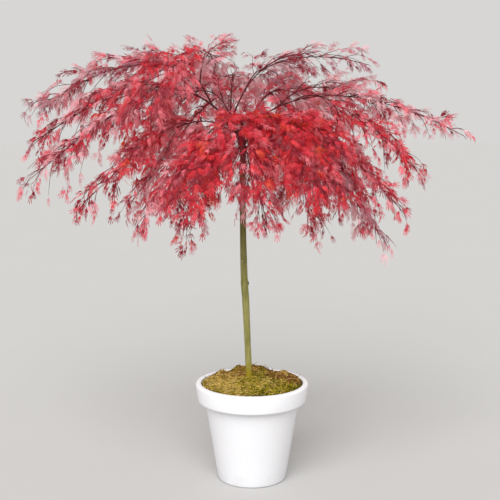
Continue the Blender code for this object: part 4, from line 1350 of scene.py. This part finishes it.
class MAPLE_OT_leaves(bpy.types.Operator):
    """Hang the leaves, dealt to their colours spray by spray"""
    bl_idname = "maple.leaves"
    bl_label = "Leaves"

    def execute(self, context):
        settings = context.scene.maple_crown
        crown = grown_crown(settings.leaf_length, settings.leaf_gap)
        most = MOST_TRIANGLES // max(len(leaf_shape(*shape)[2]) for shape in LEAF_SHAPES)
        for tint, slot in LEAF_SLOTS.items():
            material = leaf_material(tint, getattr(settings, tint), settings.glow)
            leaves = [leaf for leaf in crown.leaves if leaf.tint == tint]
            for part, start in enumerate(range(0, len(leaves), most), 1):
                some = leaves[start:start + most]
                name = f"leaves_{tint}_{part}"
                mesh = joined_mesh(name, *leaf_arrays(some))
                new_piece(name, mesh, material, slot, foliage_nodes({leaf.plume for leaf in some}))
        return {"FINISHED"}


# Stage

class MAPLE_OT_stage(bpy.types.Operator):
    """Set the pale floor, the soft light and the camera"""
    bl_idname = "maple.stage"
    bl_label = "Stage"

    def execute(self, context):
        settings = context.scene.maple_stage
        self.lay_floor(settings)
        self.light(context, settings)
        self.place_camera(context, settings)
        context.scene.view_settings.view_transform = "Standard"
        return {"FINISHED"}

    def lay_floor(self, settings):
        bm = bmesh.new()
        bmesh.ops.create_circle(bm, cap_ends=True, segments=96, radius=FLOOR_RADIUS)
        mesh = mesh_of(bm, "floor", smooth=False)
        floor = bpy.data.objects.new("floor", mesh)
        bpy.context.scene.collection.objects.link(floor)
        mesh.materials.append(mottled_material(
            "floor", settings.floor, toned(settings.floor, 0.97), 2.0, 1.0, 0.9, specular=0.1))
        floor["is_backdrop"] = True

    def light(self, context, settings):
        sky = bpy.data.worlds.new("sky")
        sky.use_nodes = True
        sky.node_tree.nodes["Background"].inputs["Color"].default_value = rgba(settings.sky)
        context.scene.world = sky
        key = bpy.data.lights.new("key", "SUN")
        key.energy = settings.key
        key.angle = math.radians(KEY_SPREAD)
        lamp = bpy.data.objects.new("key", key)
        lamp.rotation_euler = Vector(KEY_WAY).to_track_quat("Z", "Y").to_euler()
        context.scene.collection.objects.link(lamp)

    def place_camera(self, context, settings):
        camera = bpy.data.cameras.new("camera")
        camera.lens = settings.lens
        eye = bpy.data.objects.new("camera", camera)
        eye.location = (settings.eye_side, -settings.eye_distance, settings.eye_height)
        tilt = math.atan((settings.eye_height - settings.aim_height) / settings.eye_distance)
        eye.rotation_euler = (math.pi / 2 - tilt, 0.0, 0.0)
        context.scene.collection.objects.link(eye)
        context.scene.camera = eye


OPERATORS = (
    MAPLE_OT_planter, MAPLE_OT_soil, MAPLE_OT_moss, MAPLE_OT_trunk, MAPLE_OT_boughs, MAPLE_OT_twigs,
    MAPLE_OT_leaves, MAPLE_OT_stage,
)
SETTINGS = {
    "maple_planter": MaplePlanterSettings, "maple_moss": MapleMossSettings, "maple_bark": MapleBarkSettings,
    "maple_crown": MapleCrownSettings, "maple_stage": MapleStageSettings,
}


class MAPLE_PT_tree(bpy.types.Panel):
    """Buttons for the steps that build the tree"""
    bl_label = "Lace-leaf maple"
    bl_idname = "MAPLE_PT_tree"
    bl_space_type = "VIEW_3D"
    bl_region_type = "UI"
    bl_category = "Maple"

    def draw(self, context):
        for operator in OPERATORS:
            self.layout.operator(operator.bl_idname)


def register():
    for group in SETTINGS.values():
        bpy.utils.register_class(group)
    for operator in (*OPERATORS, MAPLE_PT_tree):
        bpy.utils.register_class(operator)
    for name, group in SETTINGS.items():
        setattr(bpy.types.Scene, name, PointerProperty(type=group))


def unregister():
    for name in SETTINGS:
        delattr(bpy.types.Scene, name)
    for cls in (MAPLE_PT_tree, *reversed(OPERATORS), *reversed(SETTINGS.values())):
        bpy.utils.unregister_class(cls)


def main():
    register()
    bpy.ops.maple.planter()
    bpy.ops.maple.soil()
    bpy.ops.maple.moss()
    bpy.ops.maple.trunk()
    bpy.ops.maple.boughs()
    bpy.ops.maple.twigs()
    bpy.ops.maple.leaves()
    bpy.ops.maple.stage()
    boxes = {"cad": CAD_BOX, "visual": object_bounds()}
    {name: [list(corner) for corner in box] for name, box in boxes.items()}


if __name__ == "__main__":
    main()
